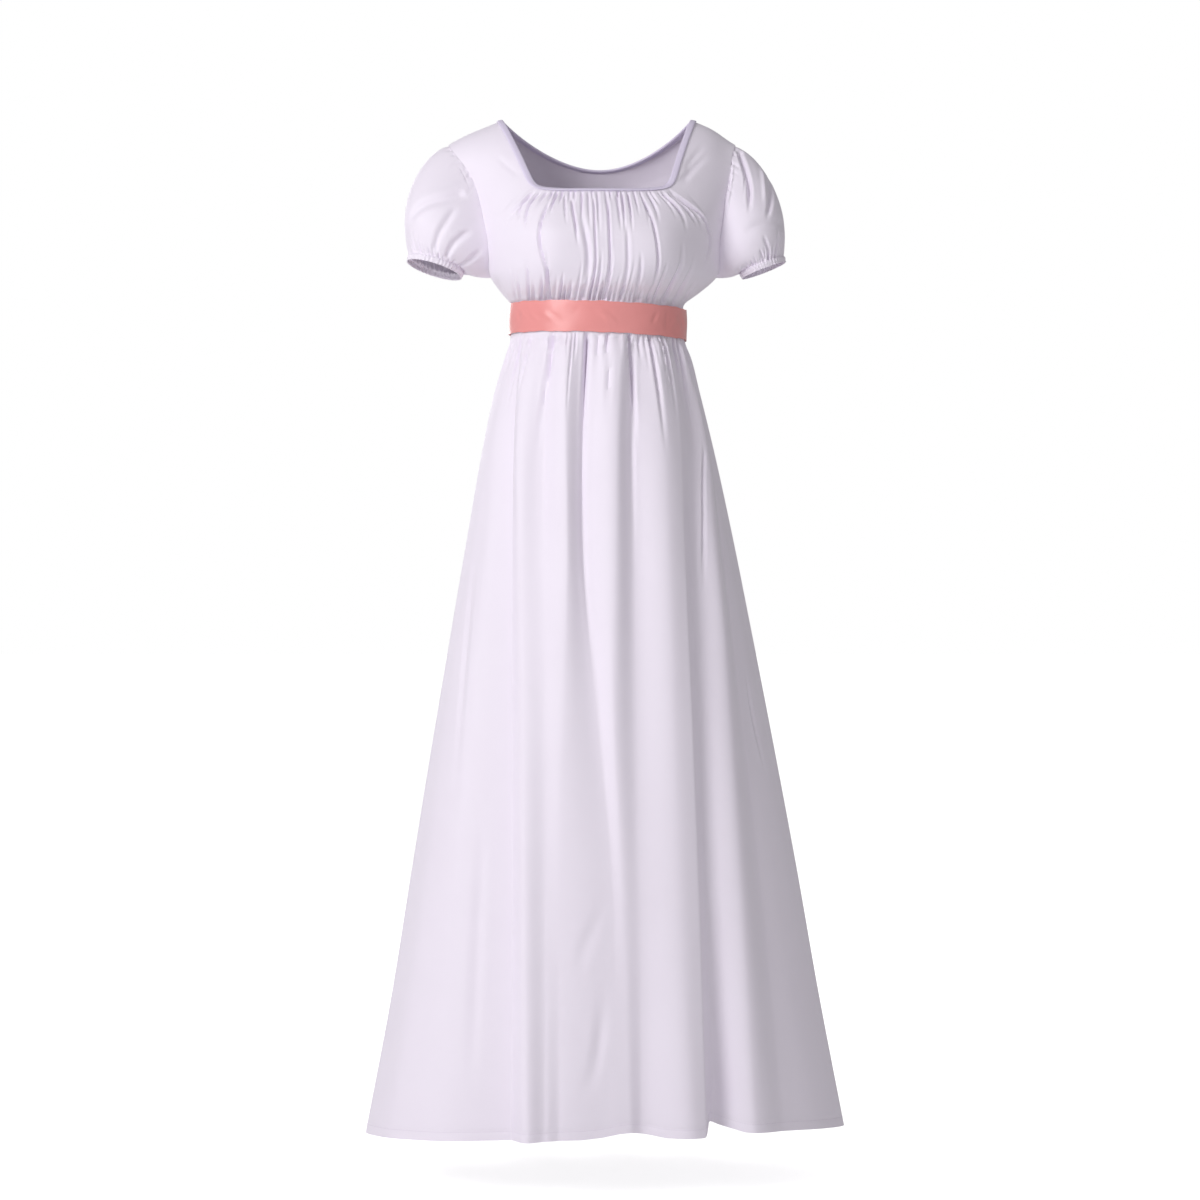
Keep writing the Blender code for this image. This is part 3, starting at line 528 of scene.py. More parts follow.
def neck_gathers():
    """The small gathers under the neckline and above the sash, then the long folds between them."""
    draw = np.random.default_rng(1811)
    foot = SASH_TOP + 0.002
    folds = []
    for u in np.linspace(-0.94, 0.94, 24):
        u = u + draw.uniform(-0.020, 0.020)
        length = draw.uniform(0.014, 0.066)
        path = [(gather_x(u, NECK_FRONT - d), NECK_FRONT - d) for d in (0.0, 0.5 * length, length)]
        folds.append(Fold(path, draw.uniform(1.8, 2.8), draw.uniform(2.4, 5.2), (0.10, 0.75)))
    for u in np.linspace(-0.97, 0.97, 30):
        u = u + draw.uniform(-0.022, 0.022)
        length = draw.uniform(0.014, 0.072)
        path = [(gather_x(u, foot + d), foot + d) for d in (0.0, 0.5 * length, length)]
        folds.append(Fold(path, draw.uniform(1.8, 3.2), draw.uniform(1.4, 5.0), (0.0, 0.75)))
    # u at the top, in the middle and at the foot, the heights of top and foot, then width, depth and fade
    long_folds = (
        (-0.66, -0.70, -0.60, -0.118, -0.254, 2.3, 5.6, (0.20, 0.0)),
        (-0.50, -0.47, -0.45, -0.116, -0.160, 2.2, 3.0, (0.1, 0.6)),
        (-0.42, -0.36, -0.33, -0.118, -0.190, 2.4, 5.0, (0.1, 0.5)),
        (-0.30, -0.22, -0.21, -0.135, -0.240, 4.5, 4.2, (0.4, 0.3)),
        (-0.12, -0.115, -0.11, -0.116, -0.254, 2.2, 3.4, (0.1, 0.0)),
        (0.07, 0.08, 0.085, -0.116, -0.254, 2.4, 4.6, (0.15, 0.0)),
        (0.20, 0.22, 0.23, -0.116, -0.170, 2.6, 3.4, (0.1, 0.6)),
        (0.30, 0.31, 0.33, -0.150, -0.254, 3.4, 3.2, (0.4, 0.1)),
        (0.53, 0.60, 0.66, -0.117, -0.245, 2.4, 4.2, (0.15, 0.3)),
        (0.44, 0.47, 0.50, -0.190, -0.254, 3.0, 3.0, (0.5, 0.0)),
        (0.80, 0.82, 0.80, -0.175, -0.254, 3.0, 3.2, (0.5, 0.0)),
        (0.985, 1.0, 0.995, -0.113, -0.215, 1.9, 6.0, (0.1, 0.4)),
        (0.90, 0.91, 0.92, -0.113, -0.158, 1.9, 4.6, (0.1, 0.5)),
        (0.82, 0.84, 0.85, -0.112, -0.150, 1.8, 2.8, (0.1, 0.5)),
        (-0.97, -0.91, -0.87, -0.113, -0.152, 1.8, 5.6, (0.1, 0.5)),
        (-0.87, -0.83, -0.80, -0.114, -0.166, 1.8, 5.6, (0.1, 0.5)),
    )
    for top, middle, low, head, end, width, depth, fade in long_folds:
        heights = np.linspace(head, end, 5)
        at = curve_through((0, 0.5, 1), (top, middle, low), np.linspace(0, 1, 5))
        folds.append(Fold([(gather_x(u, z), z) for u, z in zip(at, heights)], width, depth, fade))
    return folds


FRONT_DRAG = (  # soft pulls on the smooth sides and the shoulders
    Fold([(0.105, -0.098), (0.128, -0.072), (0.150, -0.050)], 5.5, 3.0, (0.2, 0.6)),
    Fold([(0.112, -0.080), (0.130, -0.056), (0.147, -0.038)], 4.5, 2.2, (0.2, 0.6)),
    Fold([(0.150, -0.125), (0.146, -0.155), (0.150, -0.185)], 8.0, 2.0, (0.4, 0.5)),
    Fold([(-0.108, -0.090), (-0.122, -0.072), (-0.134, -0.060)], 4.0, 1.2, (0.2, 0.6)),
    Fold([(-0.118, -0.082), (-0.132, -0.064), (-0.144, -0.052)], 3.5, 1.0, (0.2, 0.6)),
    Fold([(-0.172, -0.075), (-0.166, -0.105), (-0.160, -0.130)], 2.2, 0.9, (0.3, 0.6)),
    Fold([(-0.150, -0.215), (-0.135, -0.235), (-0.122, -0.252)], 4.0, 1.8, (0.4, 0.2)),
    Fold([(0.150, -0.215), (0.137, -0.235), (0.125, -0.252)], 4.0, 1.8, (0.4, 0.2)),
)


def shoulder_strap(side, edge, column):
    """A panel's strap, from the row `edge` up to the shoulder seam. Its neck edge is `column`."""
    outer = armhole(side, np.linspace(0, 1, STRAP_ROWS + 1))
    outer[0] = edge[-1]
    return coons(edge, shoulder_seam(np.linspace(0, 1, STRAP_COLUMNS + 1)), column, outer)


def above_seam(flat):
    """0 at the empire seam and 1 above the sash, so that the bodice's folds start from the seam."""
    return smooth_step((flat[..., 1] - SEAM_LEVEL) / 0.022)


def flat_seams(grid):
    """0 at a panel's outer edges and 1 a little way in, so that two panels meet along their seam."""
    column = np.arange(grid.shape[1])
    return smooth_step(np.minimum(column, column[::-1]) / 5)[None]


def front_bodice():
    """The front's outer surface, and which of its cells are cloth: above the neckline only the straps are."""
    low = body_rows("front")
    share = ((BODICE_LEVELS - SEAM_LEVEL) / (NECK_FRONT - SEAM_LEVEL))[:, None]
    near_corner = smooth_step((np.abs(low[..., 0]) - 0.045) / 0.055)
    low[..., 2] += NECK_CORNER_RISE * near_corner * np.clip(share, 0, 1) ** 6
    edge = low[-1, CENTRE_COLUMNS:]
    steps = np.linspace(0, 1, STRAP_ROWS + 1)
    column = bridge(edge[0], (0.0085, 0.0210, 0.0330), NECK_POINT, (-0.0030, -0.0430, -0.0040), steps)
    strap = shoulder_strap("front", edge, column)
    gap = np.broadcast_to(edge[0], (STRAP_ROWS, CENTRE_COLUMNS, 3))
    half = np.concatenate([low, np.concatenate([gap, strap[1:]], axis=1)])
    joint = len(low) - 1
    grid = mirrored(relaxed(half, joint, CENTRE_COLUMNS + 3))
    flat = grid[..., (0, 2)]
    normals = outward(grid_normals(grid, False), grid, BODY_CENTRE)
    centre = slice(STRAP_COLUMNS, -STRAP_COLUMNS)
    normals[joint:, centre] = normals[joint - 1, centre]
    out = troughs(flat, neck_gathers()) * above_seam(flat)
    out = (out + troughs(flat, FRONT_DRAG)) * flat_seams(grid)
    # The binding holds the gathers nearly flat at the neck edge. They are free a few millimetres below it.
    free = smooth_step((NECK_FRONT + 0.006 - flat[..., 1]) / 0.007)
    out[: joint + 1, centre] *= NECK_HOLD + (1 - NECK_HOLD) * free[: joint + 1, centre]
    grid = leaned(grid + normals * out[..., None])
    columns = grid.shape[1] - 1
    kept = np.ones((len(grid) - 1, columns), bool)
    kept[joint:, STRAP_COLUMNS : columns - STRAP_COLUMNS] = False
    return grid, kept


BACK_DRAG = (  # soft pulls on the back's smooth sides and shoulders, the same on both sides
    Fold([(0.145, -0.205), (0.110, -0.200), (0.070, -0.190)], 6, 2.2, (0.3, 0.6)),
    Fold([(0.150, -0.150), (0.120, -0.165), (0.085, -0.170)], 7, 1.8, (0.3, 0.6)),
    Fold([(0.120, -0.060), (0.138, -0.048), (0.160, -0.040)], 5, 1.6, (0.3, 0.6)),
)


def back_gathers():
    """Small gathers above the sash, which spread as they rise, and the soft pulls on both sides."""
    draw = np.random.default_rng(1795)
    foot = SASH_TOP + 0.002
    folds = []
    for x in np.linspace(-0.088, 0.088, 19):
        x = x + draw.uniform(-0.002, 0.002)
        length = draw.uniform(0.018, 0.060)
        spread = 1 + 3.0 * length
        path = [(x, foot), (x * (1 + spread) / 2, foot + 0.5 * length), (x * spread, foot + length)]
        folds.append(Fold(path, draw.uniform(2.2, 3.4), draw.uniform(1.2, 2.4), (0.0, 0.8)))
    for side in (-1, 1):
        for fold in BACK_DRAG:
            folds.append(fold._replace(path=[(side * x, z) for x, z in fold.path]))
    return folds


def back_corner(z):
    """How far round the back panel its middle part reaches, up to the strap's columns. That is 44 degrees at
    the empire seam and 40 at the neck's level."""
    return math.radians(44 - 4 * (z - SEAM_LEVEL) / (NECK_FRONT - SEAM_LEVEL))


def back_bodice():
    """The back's outer surface, up to its scooped neck and the shoulder seams."""
    low = body_rows("back")
    edge = low[-1]
    corner = edge[CENTRE_COLUMNS]
    scoop_middle = np.array([0.0, edge[0, 1] - 0.012, NECK_BACK])
    up, across = np.linspace(0, 1, STRAP_ROWS + 1), np.linspace(0, 1, CENTRE_COLUMNS + 1)
    column = bridge(corner, (0.0050, -0.0060, 0.0400), NECK_POINT, (-0.0030, 0.0360, -0.0030), up)
    centre_line = bridge(edge[0], (0.0, -0.0020, 0.0160), scoop_middle, (0.0, 0.0060, -0.0160), up)
    scoop = bridge(scoop_middle, (0.0600, 0.0010, 0.0), NECK_POINT, (-0.0160, 0.0460, -0.0140), across)
    middle = coons(edge[: CENTRE_COLUMNS + 1], scoop, centre_line, column)
    strap = shoulder_strap("back", edge[CENTRE_COLUMNS:], column)
    upper = np.concatenate([middle, strap[:, 1:]], axis=1)
    grid = mirrored(relaxed(np.concatenate([low, upper[1:]]), len(low) - 1, 0))
    flat = grid[..., (0, 2)]
    normals = outward(grid_normals(grid, False), grid, BODY_CENTRE)
    out = troughs(flat, back_gathers()) * flat_seams(grid) * above_seam(flat)
    out[-1] = 0
    return leaned(grid + normals * out[..., None])


# The skirt

def skirt_levels():
    """The heights of the skirt's rows: close together at the gathers, wider apart lower down, and closest of
    all at the turned hem."""
    return np.concatenate(
        [
            np.arange(SEAM_LEVEL, -0.345, -0.0036),
            np.arange(-0.345, -0.500, -0.0065),
            np.arange(-0.500, HEM_LEVEL + 0.022, -0.0135),
            np.linspace(HEM_LEVEL + 0.022, HEM_LEVEL, 12),
        ]
    )


# Gathers under the sash: degrees round from the centre at the sash and at the gather's foot, then its length,
# width and depth in mm.
FRONT_GATHERS = (
    (-76, -71, 70, 3.0, 3.2), (-61, -57, 110, 3.0, 4.2), (-49, -47, 120, 3.0, 4.6), (-43, -43, 40, 2.2, 2.6),
    (-36, -36, 36, 2.2, 2.4), (-31, -31, 180, 3.2, 6.4), (-27, -27, 42, 2.0, 2.6), (-22, -22, 55, 2.4, 3.2),
    (-14, -14, 45, 2.2, 3.0), (-7.3, -8, 160, 3.2, 6.4), (0, 0, 50, 2.4, 3.2), (6.7, 5.4, 150, 2.4, 3.8),
    (14, 13.5, 40, 2.2, 2.4), (21.3, 19.5, 170, 3.4, 7.4), (28, 27, 42, 2.2, 2.8), (36, 33, 170, 3.4, 7.0),
    (46, 44, 115, 3.0, 5.8), (52, 50, 45, 2.2, 3.0), (59, 53, 100, 3.0, 6.0), (64, 58, 130, 3.0, 6.0),
    (70, 66, 70, 2.4, 3.6), (77, 72, 100, 2.6, 3.8),
)
# Creases lower down: x and z along the way, then width and depth in mm.
FRONT_CREASES = (
    Fold([(-0.016, -0.310), (-0.020, -0.450), (-0.019, -0.600), (-0.001, -0.800)], 4.0, 3.4, (0.0, 0.5)),
    Fold([(0.050, -0.310), (0.048, -0.450), (0.050, -0.620)], 4.0, 2.8, (0.0, 0.6)),
    Fold([(-0.062, -0.310), (-0.072, -0.430), (-0.073, -0.620)], 4.0, 2.2, (0.0, 0.6)),
    Fold([(0.1415, -0.450), (0.1420, -0.520), (0.1425, -0.640)], 2.6, 3.6, (0.1, 0.25)),
    Fold([(0.016, -1.062), (-0.014, -1.112), (-0.030, -1.160)], 9.0, 2.2, (0.4, 0.5)),
    Fold([(0.008, -1.165), (0.004, -1.235), (-0.006, -1.290), (-0.034, -1.340)], 9.0, 2.4, (0.4, 0.5)),
    Fold([(0.203, -0.760), (0.216, -0.830), (0.231, -0.890)], 4.0, 2.4, (0.3, 0.4)),
    Fold([(-0.160, -0.560), (-0.176, -0.760), (-0.186, -0.960)], 9.0, 2.2, (0.4, 0.5)),
    Fold([(-0.150, -0.900), (-0.158, -1.100), (-0.166, -1.330)], 10.0, 2.4, (0.5, 0.3)),
)


def gathers_of(side):
    """The panel's gathers. The hidden side is like the front, and both have small ones in between."""
    draw = np.random.default_rng(1803 if side == "front" else 1804)
    rows = []
    for degrees in np.arange(-82, 82, 5.2):
        degrees = degrees + draw.uniform(-2, 2)
        length, width, depth = (draw.uniform(*ends) for ends in ((25, 130), (1.7, 2.4), (1.0, 2.4)))
        rows.append((degrees, degrees * 0.96, length, width, depth))
    if side == "front":
        return list(FRONT_GATHERS) + rows
    degrees = -80.0
    while degrees < 80:
        long = draw.uniform() < 0.4
        length = draw.uniform(100, 180) if long else draw.uniform(30, 60)
        depth = draw.uniform(4.0, 6.0) if long else draw.uniform(2.2, 3.2)
        rows.append((degrees, degrees * 0.95, length, 2.0 + 0.2 * depth, depth))
        degrees += draw.uniform(4.5, 9.0)
    return rows


def skirt_flat(degrees, z, side):
    """Places on the flat skirt, near enough: across by the arc at that level, and down by height."""
    right, left, depth = (at_level(SKIRT, name, z) for name in ("right", "left", side))
    radius = 0.5 * (np.where(degrees < 0, right, left) + depth)
    return np.stack([np.radians(degrees) * radius, z + 0 * degrees], axis=-1)


def x_to_degrees(x, z):
    """How far round the skirt a point at x is, from the centre of its panel."""
    reach = at_level(SKIRT, "right" if x < 0 else "left", z)
    return math.degrees(math.asin(max(-0.99, min(0.99, x / reach))))


def skirt_folds(side):
    """A panel's gathers and creases, on the flat skirt."""
    folds = []
    for head, foot, length, width, depth in gathers_of(side):
        top = SASH_FOOT - 0.002
        degrees = np.linspace(head, foot, 3)
        heights = np.linspace(top, top - length / 1000, 3)
        path = [tuple(skirt_flat(np.float64(d), z, side)) for d, z in zip(degrees, heights)]
        folds.append(Fold(path, width, depth, (0.0, 0.85)))
    creases = FRONT_CREASES if side == "front" else ()
    for fold in creases:
        path = [tuple(skirt_flat(np.float64(x_to_degrees(x, z)), z, side)) for x, z in fold.path]
        folds.append(fold._replace(path=path))
    return folds


def ripples(degrees, z, seed):
    """Slight waves in the hanging cloth, longer down than across."""
    draw = np.random.default_rng(seed)
    out = np.zeros_like(degrees)
    for _ in range(12):
        across, down = draw.uniform(0.10, 0.42), draw.uniform(-6, 6)
        out += draw.uniform(0.1, 0.35) * np.sin(across * degrees + down * z + draw.uniform(0, 2 * math.pi))
    return out / 1000


def column_spans(lines):
    """How many columns lie between each fold line and the next, and outside the last ones."""
    hem_x = [-SKIRT["right"][-1]] + [line.x[-1] for line in lines] + [SKIRT["left"][-1]]
    spans = [max(8, math.ceil(1.15 * (b - a) / SKIRT_COLUMN)) for a, b in zip(hem_x, hem_x[1:])]
    # The sides turn away from x, so they take half as many columns again.
    spans[0], spans[-1] = 3 * spans[0] // 2, 3 * spans[-1] // 2
    return spans


def fold_row(lines, spans, right, left, z):
    """One level of a panel: each column's angle round the skirt, and how far the folds stand out there."""
    line_x = np.array([curve_through(FOLD_LEVELS, line.x, z) for line in lines])
    line_out = [float(curve_through(FOLD_LEVELS, line.out, z)) / 1000 for line in lines]
    reach = np.where(line_x < 0, right, left)
    line_angle = np.arcsin(np.clip(line_x / reach, -0.985, 0.985))
    knots = np.concatenate([[-math.pi / 2], line_angle, [math.pi / 2]])
    heights = [0.0] + line_out + [0.0]
    creases = [0] + [line.crease for line in lines] + [0]
    angles, outs = [np.array([knots[0]])], [np.array([0.0])]
    for i, span in enumerate(spans):
        t = np.arange(1, span + 1) / span
        soft = smooth_step(t)
        if creases[i]:
            soft = 0.5 * soft + 0.5 * (1 - (1 - t) ** 2)
        if creases[i + 1]:
            soft = 0.5 * soft + 0.5 * t**2
        angles.append(knots[i] + t * (knots[i + 1] - knots[i]))
        outs.append(heights[i] + soft * (heights[i + 1] - heights[i]))
    return np.concatenate(angles), np.concatenate(outs)


def skirt_panel(side):
    """A panel's outer surface, as rows from the empire seam to the hem and columns from the -X side seam."""
    lines, forward, seed = (FRONT_LINES, -1, 7) if side == "front" else (BACK_LINES, 1, 8)
    spans = column_spans(lines)
    rows, turns = [], []
    for z in skirt_levels():
        right, left, depth = (at_level(SKIRT, name, z) for name in ("right", "left", side))
        angles, outs = fold_row(lines, spans, right, left, z)
        reach = np.where(angles < 0, right, left)
        normal = np.stack([np.sin(angles) / reach, forward * np.cos(angles) / depth, 0 * angles], axis=-1)
        share = max(0.0, (SEAM_LEVEL - z) / (SEAM_LEVEL - HEM_LEVEL))
        front_lift = HEM_LIFT_FRONT * np.cos(angles) if side == "front" else 0
        lift = share**3 * (front_lift + HEM_LIFT_LEFT * np.sin(angles))
        across = reach * np.sin(angles)
        if side == "front":
            rise = np.interp(across, *zip(*HEM_RISE)) / 1000
            lift = lift + rise * smooth_step((HEM_LEVEL + HEM_REACH - z) / HEM_REACH)
        point = np.stack([across, forward * depth * np.cos(angles), z + lift], axis=-1)
        rows.append(np.concatenate([point, unit(normal), outs[:, None]], axis=-1))
        turns.append(np.degrees(angles))
    rows, turns = np.array(rows), np.array(turns)
    grid, normals, outs = rows[..., :3], rows[..., 3:6], rows[..., 6]
    z = np.broadcast_to(skirt_levels()[:, None], turns.shape)
    # The long folds start below the sash and the gathers at its foot. The side seams stay flat.
    bare = smooth_step((SASH_FOOT - 0.0030 - z) / 0.014)
    seams = smooth_step((90 - np.abs(turns)) / 9)
    out = outs * bare
    below_sash = smooth_step((SASH_FOOT + 0.002 - z) / 0.006)
    out += troughs(skirt_flat(turns, z, side), skirt_folds(side)) * below_sash * seams
    out += ripples(turns, z, seed) * bare * seams
    # The row of stitches draws the turned hem in, and puckers it a little.
    pucker = np.sin(turns * 2.1) + np.sin(turns * 3.3 + 1.0)
    above_stitches = z - HEM_LEVEL - HEM_TURNING
    out -= (0.0006 + 0.0002 * pucker) * np.exp(-((above_stitches / 0.0022) ** 2)) * seams
    return grid + normals * out[..., None]


# The sleeves

SLEEVE_AROUND, SLEEVE_DOWN = 0.40, 0.20  # the flat sleeve's size, for placing folds
SLEEVE_FOLDS = {  # by the turn in degrees from the top towards the front, and the share of the way down
    "left": (
        Fold([(10, 0.06), (48, 0.25), (84, 0.42)], 6.5, 6.5, (0.1, 0.35)),
        Fold([(14, 0.05), (44, 0.19), (73, 0.27)], 2.2, 2.4, (0.1, 0.4)),
        Fold([(3, 0.33), (40, 0.44), (62, 0.54)], 6.0, -2.4, (0.3, 0.4)),
        Fold([(0, 0.44), (46, 0.56), (70, 0.64)], 7.0, 4.6, (0.3, 0.4)),
        Fold([(29, 0.03), (68, 0.07), (96, 0.08)], 2.6, -1.6, (0.2, 0.3)),
        Fold([(104, 0.40), (60, 0.72), (10, 0.84)], 9.0, 2.4, (0.3, 0.3)),
        Fold([(84, 0.70), (80, 0.85), (76, 1.0)], 3.6, 3.2, (0.5, 0.0)),
        Fold([(96, 0.80), (93, 0.90), (90, 1.0)], 3.2, 2.6, (0.5, 0.0)),
        Fold([(52, 0.76), (54, 0.88), (56, 1.0)], 3.6, 2.4, (0.6, 0.0)),
        Fold([(-60, 0.08), (-72, 0.28), (-76, 0.46)], 8.0, 4.4, (0.15, 0.5)),
        Fold([(-100, 0.60), (-80, 0.76), (-70, 0.95)], 7.0, 3.0, (0.4, 0.2)),
    ),
    "right": (
        Fold([(74, 0.14), (67, 0.45), (34, 0.86)], 8.5, 3.6, (0.2, 0.25)),
        Fold([(84, 0.30), (90, 0.62), (91, 0.97)], 6.0, 3.2, (0.3, 0.1)),
        Fold([(112, 0.24), (111, 0.62), (112, 0.98)], 5.5, 3.6, (0.3, 0.1)),
        Fold([(136, 0.12), (140, 0.62), (144, 1.0)], 5.5, 3.6, (0.3, 0.1)),
        Fold([(40, 0.07), (60, 0.09), (78, 0.11)], 2.2, 1.0, (0.1, 0.6)),
        Fold([(-74, 0.14), (-68, 0.45), (-50, 0.80)], 8.0, 3.4, (0.3, 0.3)),
        Fold([(-112, 0.30), (-108, 0.62), (-104, 0.96)], 7.0, 3.4, (0.3, 0.1)),
    ),
}


def sleeve_folds(name):
    """The listed folds, the cap's pleats and the cuff's gathers, on the flat sleeve."""
    draw = np.random.default_rng(SLEEVES[name]["seed"])
    folds = list(SLEEVE_FOLDS[name])
    for turn in np.linspace(-66, 66, 13):
        turn = turn + draw.uniform(-2, 2)
        length = draw.uniform(0.08, 0.26)
        fall = 70 * length * math.sin(math.radians(turn))
        path = [(turn, 0.0), (turn + 0.4 * fall, length / 2), (turn + fall, length)]
        folds.append(Fold(path, draw.uniform(2.2, 3.4), draw.uniform(1.0, 2.2), (0.0, 0.85)))
    turn = -178.0
    while turn < 178:
        length = draw.uniform(0.07, 0.26)
        path = [(turn, 1.0), (turn, 1.0 - length / 2), (turn, 1.0 - length)]
        folds.append(Fold(path, draw.uniform(1.9, 2.8), draw.uniform(1.2, 2.6), (0.0, 0.85)))
        turn += draw.uniform(7.0, 12.0)
    return [
        fold._replace(path=[(turn / 360 * SLEEVE_AROUND, share * SLEEVE_DOWN) for turn, share in fold.path])
        for fold in folds
    ]


def sleeve_form(sleeve, seam, turn):
    """The smooth puff: rows from the armhole seam, out over the puff and in to the cuff's casing. Each row
    starts at the top and goes round by the front."""
    top = ((1 + np.cos(turn)) / 2)[:, None]
    flank = np.abs(np.sin(turn))[:, None]
    tilt, pitch = math.radians(sleeve["tilt"]), math.radians(sleeve["pitch"])
    down = unit([math.sin(tilt), -math.sin(pitch), -math.cos(tilt)])
    out = np.array([math.cos(tilt), 0.0, math.sin(tilt)])
    forward = np.cross(out, down)
    forward = forward * -np.sign(forward[1])
    radial = np.outer(np.cos(turn), out * sleeve["across"]) + np.outer(np.sin(turn), forward * sleeve["deep"])
    foot = np.array([sleeve["cuff_x"], -CUFF_FORWARD, sleeve["cuff_z"]]) + radial
    cuff = foot - down * CUFF_BAND
    away = unit((seam - seam.mean(axis=0)) * [0, 1, 1])
    start = seam - away * SLEEVE_TUCK + np.array([-0.0004, 0.0, 0.0])
    leave_top = np.array([sleeve["puff_top"][0], 0.0, sleeve["puff_top"][1]])
    arrive_top = np.array([sleeve["puff_foot"][0], 0.0, sleeve["puff_foot"][1]])
    leave_low, arrive_low = np.array([0.0140, 0.0, -0.0010]), 0.004 * down - 0.008 * out  # under the arm
    first = start + top * leave_top + (1 - top) * leave_low + away * sleeve["swell"] * sleeve["full"] * flank
    last = cuff + top * arrive_top + (1 - top) * arrive_low
    last = last + unit(radial) * sleeve["full"] * flank
    steps = np.linspace(0, 1, SLEEVE_ROWS)
    rows = np.array([bezier(*ends, steps) for ends in zip(start, first, last, cuff)]).transpose(1, 0, 2)
    band = np.linspace(0, 1, BAND_ROWS + 1)[1:, None, None]
    return np.concatenate([rows, cuff[None] + band * (foot - cuff)[None]])


def band_puckers(along_band, turn, seed):
    """How far the casing's puckers stand out. They are strongest on the small frill below it."""
    draw = np.random.default_rng(seed)
    ruffle = sum(
        draw.uniform(0.3, 0.6) * np.cos(n * turn + draw.uniform(0, 2 * math.pi)) for n in (36, 43, 51)
    )
    casing = np.sin(math.pi * np.clip(along_band * 1.25, 0, 1))
    frill = smooth_step((along_band - 0.75) / 0.25)
    return 0.0010 * casing + 0.0008 * ruffle[None] * (0.4 + 0.6 * casing + 0.9 * frill)


def sleeve_surface(name, front, back):
    """One sleeve's outer surface, hung from the armhole edges of the two panels."""
    sleeve = SLEEVES[name]
    side = np.array([sleeve["side"], 1.0, 1.0])
    column = -1 if sleeve["side"] > 0 else 0
    under = int(np.argmin(np.abs(BODICE_LEVELS - UNDERARM)))
    half = SLEEVE_COLUMNS // 2
    down_front = even_points(front[under:, column][::-1], half + 1)
    up_back = even_points(back[under:, column], half + 1)
    seam = np.concatenate([down_front[:-1], up_back[:-1]]) * side
    turn = np.linspace(0, 2 * math.pi, SLEEVE_COLUMNS, endpoint=False)
    grid = sleeve_form(sleeve, seam, turn)
    normals = outward(grid_normals(grid, True), grid, grid.mean((0, 1)))
    signed = np.degrees(np.where(turn > math.pi, turn - 2 * math.pi, turn))
    share = np.concatenate([np.linspace(0, 1, SLEEVE_ROWS), np.ones(BAND_ROWS)])
    flat = np.stack(
        np.broadcast_arrays(signed[None, :] / 360 * SLEEVE_AROUND, share[:, None] * SLEEVE_DOWN), axis=-1
    )
    lifted = troughs(flat, sleeve_folds(name))
    lifted[0] = 0
    past_cuff = (np.arange(len(grid)) - SLEEVE_ROWS + 1)[:, None]
    along_band = np.clip(past_cuff / BAND_ROWS, 0, 1)
    near_band = smooth_step((past_cuff + 8) / 8)
    puckers = band_puckers(along_band, turn, sleeve["seed"] + 1) * near_band
    lifted = lifted * (1 - smooth_step(along_band / 0.2)) + puckers
    return (grid + normals * lifted[..., None]) * side


# The neck binding and the sash

def neck_line(front, back):
    """The neck edge all round, from the +X shoulder by the front: as cut, and with its corners rounded."""
    low = len(BODICE_LEVELS) - 1
    left, right = STRAP_COLUMNS, front.shape[1] - 1 - STRAP_COLUMNS
    line = np.concatenate(
        [
            front[len(front) - 1 : low : -1, right],
            front[low, left : right + 1][::-1],
            front[low + 1 :, left],
            back[-1, left + 1 : right],
        ]
    )
    line = even_points(np.concatenate([line, line[:1]]), NECK_POINTS + 1)[:-1]
    soft = line.copy()
    for _ in range(NECK_ROUNDING):
        soft = 0.25 * np.roll(soft, 1, axis=0) + 0.5 * soft + 0.25 * np.roll(soft, -1, axis=0)
    in_front = smooth_step((-0.020 - line[:, 1]) / 0.030)[:, None]
    return line, line + in_front * (soft - line)


def rounded_neck(grid, line, soft):
    """The grid with the cloth near the neck edge carried along as the edge's corners are rounded."""
    points = grid.reshape(-1, 3).copy()
    near = np.nonzero(points[:, 2] > NECK_FRONT - 0.04)[0]
    away = np.linalg.norm(points[near, None] - line[None], axis=-1)
    nearest = np.argmin(away, axis=1)
    weight = np.exp(-((away[np.arange(len(near)), nearest] / 0.012) ** 2))
    points[near] += (soft - line)[nearest] * weight[:, None]
    return points.reshape(grid.shape)


def neck_frame(line):
    """At each point of the neck edge: the way out of the cloth, and the way across it towards the neck."""
    along = unit(np.roll(line, -3, axis=0) - np.roll(line, 3, axis=0))
    middle = line * [0.55, 0.20, 0.0] + [0.0, 0.0, -0.30]  # a point inside the body for each one of the edge
    facing = unit(line - middle)
    facing = unit(facing - along * np.sum(facing * along, axis=1, keepdims=True))
    inward = np.cross(facing, along)
    if np.sum(inward * (np.array([0.0, 0.0, 0.1]) - line)) < 0:
        inward = -inward
    return facing, inward


def binding_surface(line):
    """The bias strip folded over the neck edge: from its outer sewn edge, over the top and down inside."""
    facing, inward = neck_frame(line)
    half = BINDING_DEPTH / 2
    # The strip's section: how far across the edge, and how far out of the cloth
    profile = [(-0.0014, 0.0003), (-0.0010, 0.0010), (0.0004, half), (0.0026, half), (0.0046, half)]
    roll = np.linspace(0.15, 0.85, 7) * math.pi
    profile += [(0.0050 + half * math.sin(a), half * math.cos(a)) for a in roll]
    profile += [(0.0030, -half), (0.0008, -half), (-0.0008, -0.0009)]
    return np.array([line + inward * across + facing * (lift + 0.0003) for across, lift in profile])


